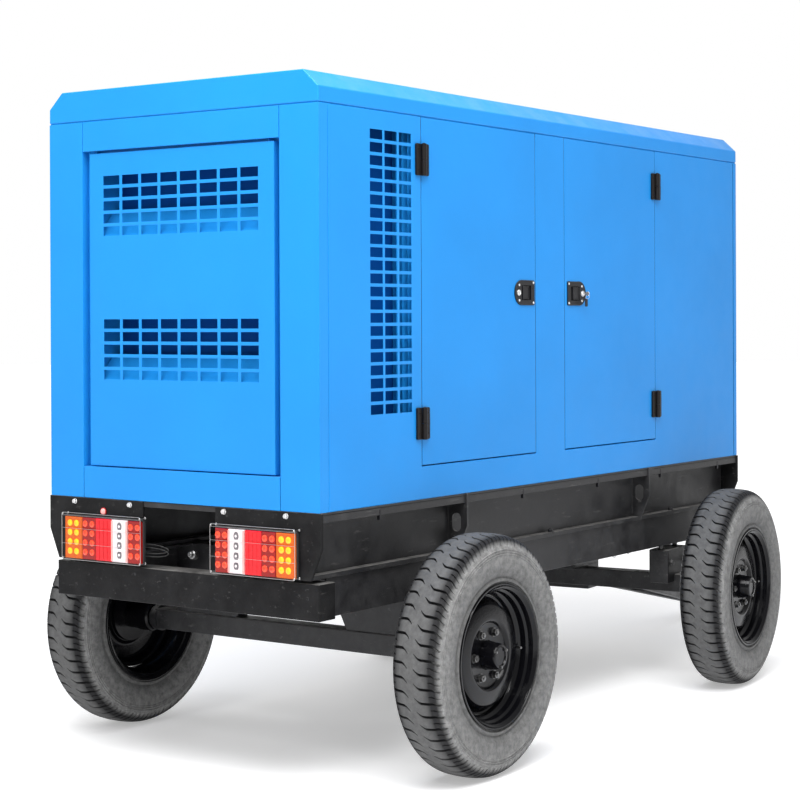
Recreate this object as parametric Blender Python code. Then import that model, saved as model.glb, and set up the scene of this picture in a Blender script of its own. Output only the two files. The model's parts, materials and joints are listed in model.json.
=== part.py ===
"""A towable diesel generating set: an enclosed set on a four-wheel turntable trailer.

Metres. +X is the towing direction, +Y the left side and +Z up; the origin is on the ground, under
the middle of the overall box. Places along the trailer are given as stations, measured forward
from the canopy's rear face; the datum empty carries them all to their place about the origin.
"""

import math

import bmesh
import bpy
from mathutils import Vector

# --- Driving dimensions -------------------------------------------------------------------

GAP = 0.0003  # between faces that touch
SEAM = 0.0015  # half of the gap round a door
LAMP_DEPTH = 0.030  # the lamps stand this far behind the canopy's rear face
OVERALL_LENGTH = 4.10367  # from the lamps' faces to the tip of the tow eye
LAMP_REACH = {1: (0.131, 0.476), -1: (0.149, 0.480)}  # each lamp's ends, off the middle plane
REAR_STATION = LAMP_DEPTH - OVERALL_LENGTH / 2  # the canopy's rear face on the X axis

CANOPY_LENGTH = 2.80
HALF_WIDTH = 0.55
CANOPY_BOTTOM = 0.85
SILL_TOP = 0.953
ROOF_SEAM = 2.05
ROOF_EDGE = 2.096
ROOF_TOP = 2.148
ROOF_INSET = 0.056
PANEL = 0.030  # sheet and sound-absorbing foam together
DOOR = 0.025

DOOR_SPANS = {"rear": (0.534, 1.213), "front": (1.407, 2.077)}
DOOR_TOP = ROOF_SEAM - 2 * SEAM
HINGE_HEIGHTS = (1.088, 1.913)
LATCH_HEIGHT = 1.5025

CHASSIS_BOTTOM = 0.53
SKID_BOTTOM = 0.65
RAIL_OUTER = 0.50
RAIL_INNER = 0.42

WHEEL_RADIUS = 0.375
HALF_TRACK = 0.724
REAR_AXLE = 0.577
TURNTABLE = 2.32
STEER_AT_REST = math.radians(5.5)
AXLE_BOTTOM, AXLE_TOP = 0.34, 0.41

DRAWBAR_HINGE = (0.60, 0.275)  # ahead of the turntable's axis, and above the ground
TOW_EYE = (1.70, 0.040)

# --- Materials ----------------------------------------------------------------------------


def paint(name, color, roughness, metallic=0.0):
    material = bpy.data.materials.new(name)
    material.use_nodes = True
    shader = material.node_tree.nodes["Principled BSDF"]
    shader.inputs["Base Color"].default_value = (*color, 1.0)
    shader.inputs["Roughness"].default_value = roughness
    shader.inputs["Metallic"].default_value = metallic
    return material


def make_materials():
    return {
        "canopy_blue": paint("canopy_blue", (0.04, 0.31, 0.85), 0.35),
        "chassis_black": paint("chassis_black", (0.025, 0.025, 0.028), 0.45),
        "rubber": paint("rubber", (0.05, 0.05, 0.05), 0.85),
        "wheel_black": paint("wheel_black", (0.012, 0.012, 0.013), 0.25),
        "hinge_black": paint("hinge_black", (0.015, 0.015, 0.017), 0.5),
        "lamp_red": paint("lamp_red", (0.6, 0.01, 0.01), 0.2),
        "engine_grey": paint("engine_grey", (0.12, 0.13, 0.14), 0.5),
        "alternator_blue": paint("alternator_blue", (0.03, 0.10, 0.30), 0.45),
        "raw_steel": paint("raw_steel", (0.45, 0.45, 0.46), 0.4, 1.0),
        "aluminium": paint("aluminium", (0.6, 0.61, 0.62), 0.45, 1.0),
        "plastic_black": paint("plastic_black", (0.02, 0.02, 0.02), 0.5),
        "stop_red": paint("stop_red", (0.7, 0.01, 0.01), 0.35),
    }


# --- Solids -------------------------------------------------------------------------------


def closed_mesh(points, faces):
    """A mesh from its points and faces, with every face turned outwards."""
    mesh = bpy.data.meshes.new("solid")
    mesh.from_pydata(points, [], faces)
    shape = bmesh.new()
    shape.from_mesh(mesh)
    bmesh.ops.recalc_face_normals(shape, faces=shape.faces)
    shape.to_mesh(mesh)
    shape.free()
    return mesh


def hull_of_two_loops(first, second):
    """The solid between two outlines that have the same number of corners."""
    count = len(first)
    sides = [
        (i, (i + 1) % count, count + (i + 1) % count, count + i) for i in range(count)
    ]
    ends = [tuple(range(count)), tuple(range(count, 2 * count))]
    return closed_mesh([*first, *second], sides + ends)


def on_axis(axis, along, first, second):
    """The point at a distance along an axis, with its two other coordinates in X, Y, Z order."""
    return {
        "X": (along, first, second),
        "Y": (first, along, second),
        "Z": (first, second, along),
    }[axis]


def prism(outline, axis, low, high):
    """An outline, in the plane across an axis, extruded along that axis."""
    return hull_of_two_loops(
        [on_axis(axis, low, *point) for point in outline],
        [on_axis(axis, high, *point) for point in outline],
    )


def block(low, high):
    (x0, y0, z0), (x1, y1, z1) = low, high
    return prism([(x0, y0), (x1, y0), (x1, y1), (x0, y1)], "Z", z0, z1)


def blocks(boxes):
    """One mesh that holds several blocks lying clear of each other, for use as a cutter."""
    shape = bmesh.new()
    for low, high in boxes:
        shape.from_mesh(block(low, high))
    mesh = bpy.data.meshes.new("blocks")
    shape.to_mesh(mesh)
    shape.free()
    return mesh


def beam(start, end, width, depth):
    """A straight bar of rectangular section between two points; its width lies level."""
    start, end = Vector(start), Vector(end)
    along = (end - start).normalized()
    level = along.cross(Vector((0, 0, 1))).normalized() * width / 2
    upright = level.cross(along).normalized() * depth / 2
    corners = (level + upright, level - upright, -level - upright, -level + upright)
    return hull_of_two_loops(
        [tuple(start + corner) for corner in corners],
        [tuple(end + corner) for corner in corners],
    )


def turned(outline, axis, centre, sides):
    """A closed outline of (radius, distance) points turned about an axis. It has a flat side down."""
    points, rings = [], []
    for radius, distance in outline:
        count = sides if radius > 0 else 1
        ring = []
        for i in range(count):
            angle = math.tau * (i + 0.5) / sides - math.pi / 2
            first, second = radius * math.cos(angle), radius * math.sin(angle)
            ring.append(len(points))
            points.append(tuple(Vector(on_axis(axis, distance, first, second)) + Vector(centre)))
        rings.append(ring * (sides // count))
    faces = []
    for near, far in zip(rings, rings[1:] + rings[:1]):
        for i in range(sides):
            j = (i + 1) % sides
            corners = tuple(dict.fromkeys((near[i], near[j], far[j], far[i])))
            if len(corners) > 2:
                faces.append(corners)
    return closed_mesh(points, faces)


def rod(axis, centre, radius, low, high, sides=12):
    """A cylinder along an axis, between two distances from its centre."""
    return turned([(0, low), (radius, low), (radius, high), (0, high)], axis, centre, sides)


def arc(centre, radius, start, end, steps):
    """Points on an arc, from one angle to another in degrees."""
    angles = [math.radians(start + (end - start) * i / steps) for i in range(steps + 1)]
    return [(centre[0] + radius * math.cos(a), centre[1] + radius * math.sin(a)) for a in angles]


# --- Objects ------------------------------------------------------------------------------


def put(name, mesh, carrier):
    """An object on a carrier empty. Its mesh is drawn from the datum, so it steps back by as much."""
    thing = bpy.data.objects.new(name, mesh)
    bpy.context.scene.collection.objects.link(thing)
    thing.parent = carrier
    thing.location = -Vector(carrier["station"])
    return thing


def part(name, material, carrier, solids, holes=()):
    """One sub-part: the union of its solids, less its holes."""
    thing = put(name, solids[0], carrier)
    thing.data.materials.append(MATERIALS[material])
    for operation, meshes in (("UNION", solids[1:]), ("DIFFERENCE", holes)):
        for number, mesh in enumerate(meshes):
            helper = put(f"{name}_{operation.lower()}_{number}", mesh, carrier)
            helper.hide_render = True
            helper.display_type = "WIRE"
            modifier = thing.modifiers.new(helper.name, "BOOLEAN")
            modifier.operation = operation
            modifier.object = helper
    return thing


def round_part(name, material, carrier, solids, holes=()):
    """A sub-part with turned faces, which are shaded smooth up to a sharp edge."""
    thing = part(name, material, carrier, solids, holes)
    thing.data.shade_smooth()
    thing.data.set_sharp_from_angle(angle=math.radians(40))
    return thing


def pivot(name, station, carrier=None):
    """An empty on a joint's axis, given by its place from the datum."""
    empty = bpy.data.objects.new(name, None)
    bpy.context.scene.collection.objects.link(empty)
    empty.location = Vector(station)
    empty["station"] = tuple(station)
    if carrier:
        empty.parent = carrier
        empty.location -= Vector(carrier["station"])
    return empty


# --- Trailer ------------------------------------------------------------------------------


def make_chassis(datum):
    bottom, top = CHASSIS_BOTTOM, SKID_BOTTOM - GAP
    front = CANOPY_LENGTH - 0.03
    solids = [
        block((0.05, side * RAIL_INNER, bottom), (front, side * RAIL_OUTER, top))
        for side in (1, -1)
    ]
    solids.append(block((0.014, -0.534, bottom), (0.094, 0.534, SKID_BOTTOM - 0.01)))
    cross_members = (0.54, 1.35, 2.08, 2.48, front - 0.08)
    for station in cross_members:
        solids.append(
            block((station, -RAIL_OUTER + 0.02, bottom), (station + 0.08, RAIL_OUTER - 0.02, top))
        )
    part("chassis_frame", "chassis_black", datum, solids)


def end_plate_outline(side):
    """The skid's end plates and gussets taper in towards their lower edge."""
    return [
        (side * 0.470, SKID_BOTTOM),
        (side * 0.515, SKID_BOTTOM),
        (side * 0.555, 0.745),
        (side * 0.555, CANOPY_BOTTOM - GAP),
        (side * 0.470, CANOPY_BOTTOM - GAP),
    ]


def make_skid(datum):
    top = CANOPY_BOTTOM - GAP
    solids = [block((0.002, -0.53, top - 0.018), (CANOPY_LENGTH - 0.002, 0.53, top))]
    for side in (1, -1):
        length = (0.002, CANOPY_LENGTH - 0.002)
        for inner, outer, low, high in (
            (0.470, 0.482, SKID_BOTTOM, top - 0.002),
            (0.470, 0.551, 0.820, top),
            (0.430, 0.512, SKID_BOTTOM, SKID_BOTTOM + 0.016),
        ):
            solids.append(block((length[0], side * inner, low), (length[1], side * outer, high)))
        for station in (0.0, 0.770, 2.022, CANOPY_LENGTH - 0.010):
            solids.append(prism(end_plate_outline(side), "X", station, station + 0.010))
        for station in (0.0, CANOPY_LENGTH - 0.010):
            solids.append(
                block((station, side * 0.148, SKID_BOTTOM), (station + 0.010, side * 0.475, top - 0.001))
            )
    holes = []
    for side in (1, -1):
        for station in (0.770, 2.022):
            outline = [
                *arc((side * 0.514, 0.768), 0.017, 0, 180, 5),
                *arc((side * 0.514, 0.742), 0.017, 180, 360, 5),
            ]
            holes.append(prism(outline, "X", station - 0.01, station + 0.02))
    part("skid_base", "chassis_black", datum, solids, holes)


def make_fuel_tank(datum):
    tank = block((0.90, -0.455, 0.675), (1.94, 0.455, 0.825))
    neck = rod("Z", (1.02, -0.30, 0), 0.035, 0.66, 0.70)
    round_part("fuel_tank", "chassis_black", datum, [tank, neck])


def make_axle_beam(station, ends):
    return [
        block((station - 0.035, -ends, AXLE_BOTTOM), (station + 0.035, ends, AXLE_TOP)),
        rod("Y", (station, 0, WHEEL_RADIUS), 0.025, -HALF_TRACK - 0.04, HALF_TRACK + 0.04),
    ]


def make_rear_axle(datum):
    solids = make_axle_beam(REAR_AXLE, 0.60)
    for side in (1, -1):
        mount = [
            (side * 0.24, AXLE_TOP - 0.02),
            (side * 0.50, AXLE_TOP - 0.02),
            (side * 0.50, CHASSIS_BOTTOM - GAP),
            (side * 0.17, CHASSIS_BOTTOM - GAP),
        ]
        solids.append(prism(mount, "X", REAR_AXLE - 0.03, REAR_AXLE + 0.03))
    round_part("rear_axle", "chassis_black", datum, solids)


def make_front_axle(steering):
    solids = make_axle_beam(TURNTABLE, 0.60)
    for side in (1, -1):
        solids.append(
            block(
                (TURNTABLE - 0.10, side * 0.42, AXLE_TOP - 0.03),
                (TURNTABLE + 0.10, side * 0.50, 0.510),
            )
        )
    round_part("front_axle", "chassis_black", steering, solids)


def make_turntable(datum, steering):
    """The fixed upper ring with its kingpin, and the steered frame that it turns on."""
    centre = (TURNTABLE, 0, 0)
    race = 0.500
    upper = turned(
        [
            (0, 0.425),
            (0.030, 0.425),
            (0.030, race + GAP),
            (0.300, race + GAP),
            (0.300, CHASSIS_BOTTOM - GAP),
            (0, CHASSIS_BOTTOM - GAP),
        ],
        "Z",
        centre,
        24,
    )
    round_part("turntable_ring", "raw_steel", datum, [upper])

    nose = (TURNTABLE + 0.0353, -0.10, 0.315)
    hinge = (TURNTABLE + DRAWBAR_HINGE[0], DRAWBAR_HINGE[1])
    solids = [
        rod("Z", centre, 0.300, 0.476, race, 24),
        block((TURNTABLE - 0.10, -0.10, AXLE_TOP + GAP), (TURNTABLE + 0.14, 0.10, 0.480)),
        block(nose, (TURNTABLE + 0.14, 0.10, 0.475)),
    ]
    for side in (1, -1):
        solids.append(
            beam(
                (TURNTABLE + 0.10, side * 0.075, 0.350),
                (hinge[0] - 0.02, side * 0.130, hinge[1] + 0.004),
                0.040,
                0.055,
            )
        )
        solids.append(rod("Y", (hinge[0], side * 0.130, hinge[1]), 0.032, -0.020, 0.020))
    holes = [
        rod("Z", centre, 0.033, 0.420, 0.52),
        rod("Y", (hinge[0], 0, hinge[1]), 0.0130, -0.20, 0.20),
    ]
    round_part("turntable_frame", "chassis_black", steering, solids, holes)


def make_drawbar(drawbar):
    """An A-frame that runs forward from its hinge barrels to the tow eye's socket."""
    x, z = TURNTABLE + DRAWBAR_HINGE[0], DRAWBAR_HINGE[1]
    eye = (TURNTABLE + TOW_EYE[0], TOW_EYE[1])
    slope = Vector((eye[0] - x, 0, eye[1] - z)).normalized()
    neck = Vector((eye[0], 0, eye[1])) - slope * 0.20
    solids = []
    for side in (1, -1):
        root = Vector((x, side * 0.082, z)) + slope * 0.01
        solids.append(beam(root, neck + Vector((0, side * 0.022, 0)), 0.040, 0.050))
        solids.append(rod("Y", (x, side * 0.082, z), 0.028, -0.024, 0.024))
    tie = Vector((x, 0, z)) + slope * 0.30
    solids.append(block(tie - Vector((0.03, 0.07, 0.018)), tie + Vector((0.03, 0.07, 0.018))))
    solids.append(beam(neck - slope * 0.05, neck + slope * 0.06, 0.070, 0.050))
    round_part(
        "drawbar", "chassis_black", drawbar, solids, [rod("Y", (x, 0, z), 0.0130, -0.15, 0.15)]
    )
    return slope, neck


def make_tow_eye(drawbar, slope, neck):
    """A forged ring on a shank, lying in the drawbar's own plane."""
    up = Vector((0, 1, 0)).cross(slope) * -1
    centre = Vector((TURNTABLE + TOW_EYE[0], 0, TOW_EYE[1]))
    half = 0.014
    rings = []
    for radius in (0.060, 0.031):
        for height in (-half, half):
            rings.append(
                [
                    centre
                    + slope * radius * math.cos(math.tau * (i + 0.5) / 20)
                    + Vector((0, 1, 0)) * radius * math.sin(math.tau * (i + 0.5) / 20)
                    + up * height
                    for i in range(20)
                ]
            )
    outside = hull_of_two_loops([tuple(p) for p in rings[0]], [tuple(p) for p in rings[1]])
    inside = hull_of_two_loops(
        [tuple(p - up * 0.01) for p in rings[2]], [tuple(p + up * 0.01) for p in rings[3]]
    )
    shank = beam(neck + slope * 0.0603, centre - slope * 0.045, 0.036, 2 * half)
    round_part("tow_eye", "raw_steel", drawbar, [outside, shank], [inside])


def make_drawbar_pin(steering):
    x, z = TURNTABLE + DRAWBAR_HINGE[0], DRAWBAR_HINGE[1]
    head = rod("Y", (x, 0, z), 0.020, 0.1505, 0.162)
    round_part(
        "drawbar_pin", "raw_steel", steering, [rod("Y", (x, 0, z), 0.0120, -0.165, 0.156), head]
    )


# --- Wheels -------------------------------------------------------------------------------


def flat_to_flat(outline, sides):
    """An outline widened so that the flat sides of the turned shape, and not its corners, fit."""
    widen = 1 / math.cos(math.pi / sides)
    return [(radius * widen, distance) for radius, distance in outline]


def make_wheel(corner, carrier, station, side):
    """Distances in the outlines run outboard from the tyre's middle plane."""
    centre = (station, side * HALF_TRACK, WHEEL_RADIUS)

    def outboard(outline):
        return [(radius, side * distance) for radius, distance in outline]

    half_tyre = [
        (0.205, 0.070),
        (0.228, 0.072),
        (0.255, 0.085),
        (0.300, 0.090),
        (0.356, 0.080),
        (WHEEL_RADIUS, 0.050),
    ]
    tyre = half_tyre + [(radius, -distance) for radius, distance in reversed(half_tyre)]
    tyre_sides = 28
    round_part(
        f"{corner}_tyre",
        "rubber",
        carrier,
        [turned(flat_to_flat(outboard(tyre), tyre_sides), "Y", centre, tyre_sides)],
    )
    rim = [
        (0.2245, -0.0790),
        (0.2245, -0.0725),
        (0.2045, -0.0725),
        (0.1860, -0.0200),
        (0.1860, 0.0100),
        (0.2045, 0.0725),
        (0.2245, 0.0725),
        (0.2245, 0.0790),
        (0.1970, 0.0790),
        (0.1780, 0.0200),
        (0.1300, 0.0380),
        (0.0600, 0.0380),
        (0.0600, 0.0300),
        (0.1260, 0.0300),
        (0.1780, 0.0040),
        (0.1780, -0.0140),
        (0.1970, -0.0790),
    ]
    round_part(f"{corner}_rim", "wheel_black", carrier, [turned(outboard(rim), "Y", centre, 20)])
    hub = [
        (0.0280, -0.100),
        (0.0450, -0.100),
        (0.0450, 0.015),
        (0.0950, 0.015),
        (0.0950, 0.030 - GAP),
        (0.0450, 0.030 - GAP),
        (0.0400, 0.088),
        (0, 0.088),
        (0, 0.050),
        (0.0280, 0.050),
    ]
    round_part(f"{corner}_hub", "raw_steel", carrier, [turned(outboard(hub), "Y", centre, 12)])


# --- Lights -------------------------------------------------------------------------------


def make_tail_lamp(name, datum, side):
    inner, outer = LAMP_REACH[side]
    body = block((-LAMP_DEPTH, side * inner, 0.650), (-GAP, side * outer, 0.804))
    part(name, "lamp_red", datum, [body])


# --- Canopy -------------------------------------------------------------------------------


def make_roof(datum):
    outline = [
        (-HALF_WIDTH, ROOF_SEAM),
        (HALF_WIDTH, ROOF_SEAM),
        (HALF_WIDTH, ROOF_EDGE),
        (HALF_WIDTH - ROOF_INSET, ROOF_TOP),
        (ROOF_INSET - HALF_WIDTH, ROOF_TOP),
        (-HALF_WIDTH, ROOF_EDGE),
    ]
    part("roof_cap", "canopy_blue", datum, [prism(outline, "X", 0, CANOPY_LENGTH)])


def louvre_rows(across, rows, base, pitch, height, depth, axis="X"):
    """Cutters for the rows of a vent. Depth is along the axis, across is the other level one."""
    boxes = []
    for row in range(rows):
        low = base + row * pitch
        if axis == "X":
            boxes.append(((depth[0], across[0], low), (depth[1], across[1], low + height)))
        else:
            boxes.append(((across[0], depth[0], low), (across[1], depth[1], low + height)))
    return boxes


def make_rear(datum):
    """The rear frame with its rebate, and the panel with two vents that sits in it."""
    frame = block((0, -HALF_WIDTH, CANOPY_BOTTOM), (0.045, HALF_WIDTH, ROOF_SEAM - GAP))
    rebate = block((-0.01, -0.402, 0.950), (0.030, 0.402, 1.953))
    opening = block((0.02, -0.350, 0.995), (0.06, 0.350, 1.905))
    part("rear_frame", "canopy_blue", datum, [frame], [rebate, opening])

    panel = block((0.006, -0.378, 0.953), (0.030 - GAP, 0.378, 1.945))
    rows = []
    for base in (1.228, 1.682):
        rows += louvre_rows((-0.317, 0.317), 5, base, 0.0395, 0.032, (-0.01, 0.05))
    part("rear_panel", "canopy_blue", datum, [panel], [blocks(rows)])


def make_front(datum):
    """The front panel, whose vents let the radiator's air out."""
    front = (CANOPY_LENGTH - PANEL + GAP, CANOPY_LENGTH)
    panel = block((front[0], -HALF_WIDTH, CANOPY_BOTTOM), (front[1], HALF_WIDTH, ROOF_SEAM - GAP))
    rows = []
    for across in ((-0.40, -0.03), (0.03, 0.40)):
        depth = (front[0] - 0.01, front[1] + 0.01)
        rows += louvre_rows(across, 20, 1.10, 0.0393, 0.029, depth)
    part("front_panel", "canopy_blue", datum, [panel], [blocks(rows)])


def make_side(name, datum, side):
    """The fixed side: rear panel with its vent, centre post, front panel and the sill under them."""
    outer, inner = side * HALF_WIDTH, side * (HALF_WIDTH - PANEL)
    rear, front = 0.045 + GAP, CANOPY_LENGTH - PANEL
    shell = block((rear, inner, CANOPY_BOTTOM), (front, outer, ROOF_SEAM - GAP))
    holes = [
        block(
            (low, side * (HALF_WIDTH - PANEL - 0.02), SILL_TOP),
            (high, side * (HALF_WIDTH + 0.02), ROOF_SEAM + 0.02),
        )
        for low, high in DOOR_SPANS.values()
    ]
    depth = sorted((inner - side * 0.02, outer + side * 0.02))
    holes.append(blocks(louvre_rows((0.253, 0.470), 22, 1.126, 0.0393, 0.029, depth, "Y")))
    part(name, "canopy_blue", datum, [shell], holes)


# --- Doors, hinges and latches ------------------------------------------------------------

HINGE_HEIGHT = 0.100
HINGE_AXIS = HALF_WIDTH + 0.011
LEAF_REACH = 0.034
KNUCKLE = 0.009
HINGE_PIN = 0.004
LEAF_FACES = (HALF_WIDTH + GAP, HALF_WIDTH + 0.007)


def leaf(station, height, away, side, knuckle_end, reach_in=GAP):
    """A hinge leaf. It reaches in to the knuckle at one end and clears the other leaf's knuckle."""
    middle, far = height, height + knuckle_end * HINGE_HEIGHT / 2
    other = height - knuckle_end * HINGE_HEIGHT / 2
    near, clear, tip = (station + away * d for d in (0.002, 0.0105, LEAF_REACH))
    outline = [(near, middle), (near, far), (tip, far), (tip, other), (clear, other), (clear, middle)]
    faces = sorted((side * (HALF_WIDTH + reach_in), side * LEAF_FACES[1]))
    return prism(outline, "Y", *faces)


def make_fixed_hinge(name, datum, station, height, away, side):
    """The lower knuckle, with the pin that stands up through the door's knuckle."""
    centre = (station, side * HINGE_AXIS, height)
    low = -HINGE_HEIGHT / 2
    knuckle = rod("Z", centre, KNUCKLE, low, -GAP)
    pin = rod("Z", centre, HINGE_PIN, -0.01, HINGE_HEIGHT / 2 - 0.004, 8)
    round_part(
        name, "hinge_black", datum, [leaf(station, height - GAP, -away, side, -1), knuckle, pin]
    )


def moving_hinge(station, height, away, side):
    """The door's leaf and its upper knuckle, as solids to join to the door."""
    centre = (station, side * HINGE_AXIS, height)
    top = HINGE_HEIGHT / 2
    barrel = [(0.0048, 0.0), (KNUCKLE, 0.0), (KNUCKLE, top), (0.0048, top)]
    return [
        leaf(station, height, away, side, 1, -0.002),
        turned(barrel, "Z", centre, 12),
    ]


def latch_outline(station, post):
    """A D: its straight side faces the centre post, its round side faces the hinges."""
    radius = 0.0425
    edge, middle = station + post * 0.0635, station - post * 0.021
    round_side = arc((0, 0), radius, 90, 270, 8)
    flat = [(edge, LATCH_HEIGHT - radius), (edge, LATCH_HEIGHT + radius)]
    return [(middle + post * x, LATCH_HEIGHT + z) for x, z in round_side] + flat


def make_latch(name, door, station, post, side):
    """The housing, whose tray sits in the door's pocket, and the paddle that pulls out of it."""

    def box(low, high, shallow, deep, half_height):
        """Across is measured towards the post, depth inwards from the door's face."""
        return block(
            (station + post * low, side * (HALF_WIDTH - deep), LATCH_HEIGHT - half_height),
            (station + post * high, side * (HALF_WIDTH - shallow), LATCH_HEIGHT + half_height),
        )

    faces = sorted((side * (HALF_WIDTH + GAP), side * (HALF_WIDTH + 0.004)))
    flange = prism(latch_outline(station, post), "Y", *faces)
    tray = box(-0.0447, 0.0447, -0.001, 0.021, 0.0297)
    recess = box(-0.020, 0.041, -0.010, 0.017, 0.0250)
    part(f"{name}_housing", "plastic_black", door, [flange, tray], [recess])

    axis = (station - post * 0.010, side * HALF_WIDTH, LATCH_HEIGHT)
    paddle = pivot(f"{name}_axis", axis, door)
    plate = box(-0.014, 0.026, -0.0045, 0.0015, 0.0220)
    spindle = rod("Z", axis, 0.0035, -0.0245, 0.0245, 8)
    round_part(f"{name}_paddle", "plastic_black", paddle, [plate, spindle])
    return box(-0.045, 0.045, -0.01, DOOR + 0.01, 0.030)


def make_doors(datum):
    for side, hand in ((1, "left"), (-1, "right")):
        for place, (low, high) in DOOR_SPANS.items():
            hinged, away = (low, 1) if place == "rear" else (high, -1)
            carrier = pivot(f"{hand}_{place}_door_axis", (hinged, side * HINGE_AXIS, 0), datum)
            name = f"{hand}_{place}_door"
            faces = sorted((side * HALF_WIDTH, side * (HALF_WIDTH - DOOR)))
            slab = block(
                (low + SEAM, faces[0], SILL_TOP + 2 * SEAM), (high - SEAM, faces[1], DOOR_TOP)
            )
            latch = 1.1365 if place == "rear" else 1.4875
            pocket = make_latch(f"{hand}_{place}_latch", carrier, latch, away, side)
            solids = [slab]
            for height, level in zip(HINGE_HEIGHTS, ("lower", "upper")):
                hinge = f"{hand}_{place}_{level}_hinge"
                make_fixed_hinge(hinge, datum, hinged, height, away, side)
                solids += moving_hinge(hinged, height, away, side)
            part(name, "canopy_blue", carrier, solids, [pocket])


# --- Generating set -----------------------------------------------------------------------

DECK = CANOPY_BOTTOM + GAP  # the set stands on the skid's deck
SHAFT_HEIGHT = 1.22
ENGINE_REAR = 1.12  # where the alternator is bolted to the engine
FAN_AXIS = (2.16, 0, 1.38)
FAN_REACH = 0.30


def make_engine(datum):
    solids = [
        block((1.16, -0.20, 1.02), (1.90, 0.20, 1.46)),
        block((1.20, -0.13, 1.45), (1.86, 0.13, 1.60)),
        block((1.24, -0.15, 0.93), (1.80, 0.15, 1.03)),
        rod("X", (0, 0, SHAFT_HEIGHT), 0.235, ENGINE_REAR, 1.20, 16),
    ]
    for station in (1.25, 1.72):
        solids.append(block((station, -0.30, DECK), (station + 0.08, 0.30, 1.06)))
    round_part("engine", "engine_grey", datum, solids)


def make_alternator(datum):
    solids = [
        rod("X", (0, 0, SHAFT_HEIGHT), 0.230, 0.46, ENGINE_REAR - GAP, 16),
        block((0.56, -0.28, DECK), (1.00, 0.28, 1.06)),
        block((0.52, -0.18, 1.40), (0.90, 0.18, 1.62)),
    ]
    round_part("alternator", "alternator_blue", datum, solids)


def make_cooling(datum):
    """The radiator in its shroud, and the fan that draws on it from the engine's side."""
    radiator = block((2.28, -0.42, DECK), (2.38, 0.42, 1.92))
    shroud = block((2.14, -0.36, 1.02), (2.285, 0.36, 1.74))
    throat = rod("X", (0, 0, FAN_AXIS[2]), FAN_REACH + 0.025, 2.10, 2.275, 24)
    round_part("radiator", "aluminium", datum, [radiator, shroud], [throat])

    fan = pivot("cooling_fan_axis", FAN_AXIS, datum)
    profile = [(0, -0.10), (0.03, -0.10), (0.03, -0.02), (0.09, -0.02), (0.09, 0.05), (0, 0.05)]
    hub = turned(profile, "X", FAN_AXIS, 12)
    blades = []
    for number in range(6):
        angle = math.tau * number / 6
        spoke = Vector((0, math.cos(angle), math.sin(angle)))
        sweep = Vector((0, -math.sin(angle), math.cos(angle)))
        root, tip = (Vector(FAN_AXIS) + spoke * reach for reach in (0.07, FAN_REACH))
        chord = [sweep * 0.045 + Vector((0.030, 0, 0)), -sweep * 0.045 - Vector((0.010, 0, 0))]
        skin = Vector((0.003, 0, 0))
        corners = [chord[0] + skin, chord[0] - skin, chord[1] - skin, chord[1] + skin]
        blades.append(
            hull_of_two_loops(
                [tuple(root + corner * 0.8) for corner in corners],
                [tuple(tip + corner * 1.4) for corner in corners],
            )
        )
    round_part("cooling_fan", "plastic_black", fan, [hub, *blades])


def make_air_and_exhaust(datum):
    cleaner = rod("X", (0, 0.27, 1.70), 0.110, 1.30, 1.72, 16)
    elbow = block((1.42, 0.10, 1.60 + GAP), (1.52, 0.22, 1.68))
    round_part("air_cleaner", "plastic_black", datum, [cleaner, elbow])

    silencer = rod("Y", (2.58, 0, 1.80), 0.110, -0.40, 0.40, 16)
    legs = [
        block((2.56, side * 0.36, DECK), (2.60, side * 0.40, 1.76))
        for side in (1, -1)
    ]
    round_part("exhaust_silencer", "raw_steel", datum, [silencer, *legs])


def make_battery(datum):
    solids = [block((1.92, -0.44, DECK), (2.09, -0.20, 1.07))]
    for place in (-0.38, -0.26):
        solids.append(rod("Z", (2.00, place, 1.07), 0.009, -0.01, 0.015, 8))
    round_part("battery", "plastic_black", datum, solids)


def make_controls(datum):
    """The control cabinet behind the left rear door, and its emergency stop button."""
    face = 0.470
    cabinet = block((0.60, 0.30, 1.28), (1.16, face, 1.92))
    legs = [
        block((station, 0.32, DECK), (station + 0.04, 0.36, 1.30))
        for station in (0.60, 1.12)
    ]
    socket = (1.08, face, 1.36)
    hole = rod("Y", socket, 0.012, -0.030, 0.02)
    round_part("control_panel", "engine_grey", datum, [cabinet, *legs], [hole])

    button = pivot("emergency_stop_axis", socket, datum)
    stem, mushroom = 0.0095, 0.020
    outline = [(0, -0.022), (stem, -0.022), (stem, 0.008), (mushroom, 0.008)]
    outline += [(mushroom, 0.014), (0.015, 0.020), (0, 0.020)]
    round_part("emergency_stop", "stop_red", button, [turned(outline, "Y", socket, 16)])


# --- The whole ----------------------------------------------------------------------------


def clear_scene():
    for thing in list(bpy.data.objects):
        bpy.data.objects.remove(thing)


def make_trailer(datum):
    make_chassis(datum)
    make_skid(datum)
    make_fuel_tank(datum)
    make_rear_axle(datum)
    steering = pivot("steering_axis", (TURNTABLE, 0, 0), datum)
    steering.rotation_euler.z = STEER_AT_REST
    make_front_axle(steering)
    make_turntable(datum, steering)
    hinge = (TURNTABLE + DRAWBAR_HINGE[0], 0, DRAWBAR_HINGE[1])
    drawbar = pivot("drawbar_axis", hinge, steering)
    slope, neck = make_drawbar(drawbar)
    make_tow_eye(drawbar, slope, neck)
    make_drawbar_pin(steering)
    for end, station, carrier in (("rear", REAR_AXLE, datum), ("front", TURNTABLE, steering)):
        for hand, side in (("left", 1), ("right", -1)):
            axle = (station, side * HALF_TRACK, WHEEL_RADIUS)
            wheel = pivot(f"{end}_{hand}_wheel_axis", axle, carrier)
            make_wheel(f"{end}_{hand}", wheel, station, side)
    make_tail_lamp("left_tail_lamp", datum, 1)
    make_tail_lamp("right_tail_lamp", datum, -1)


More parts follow.
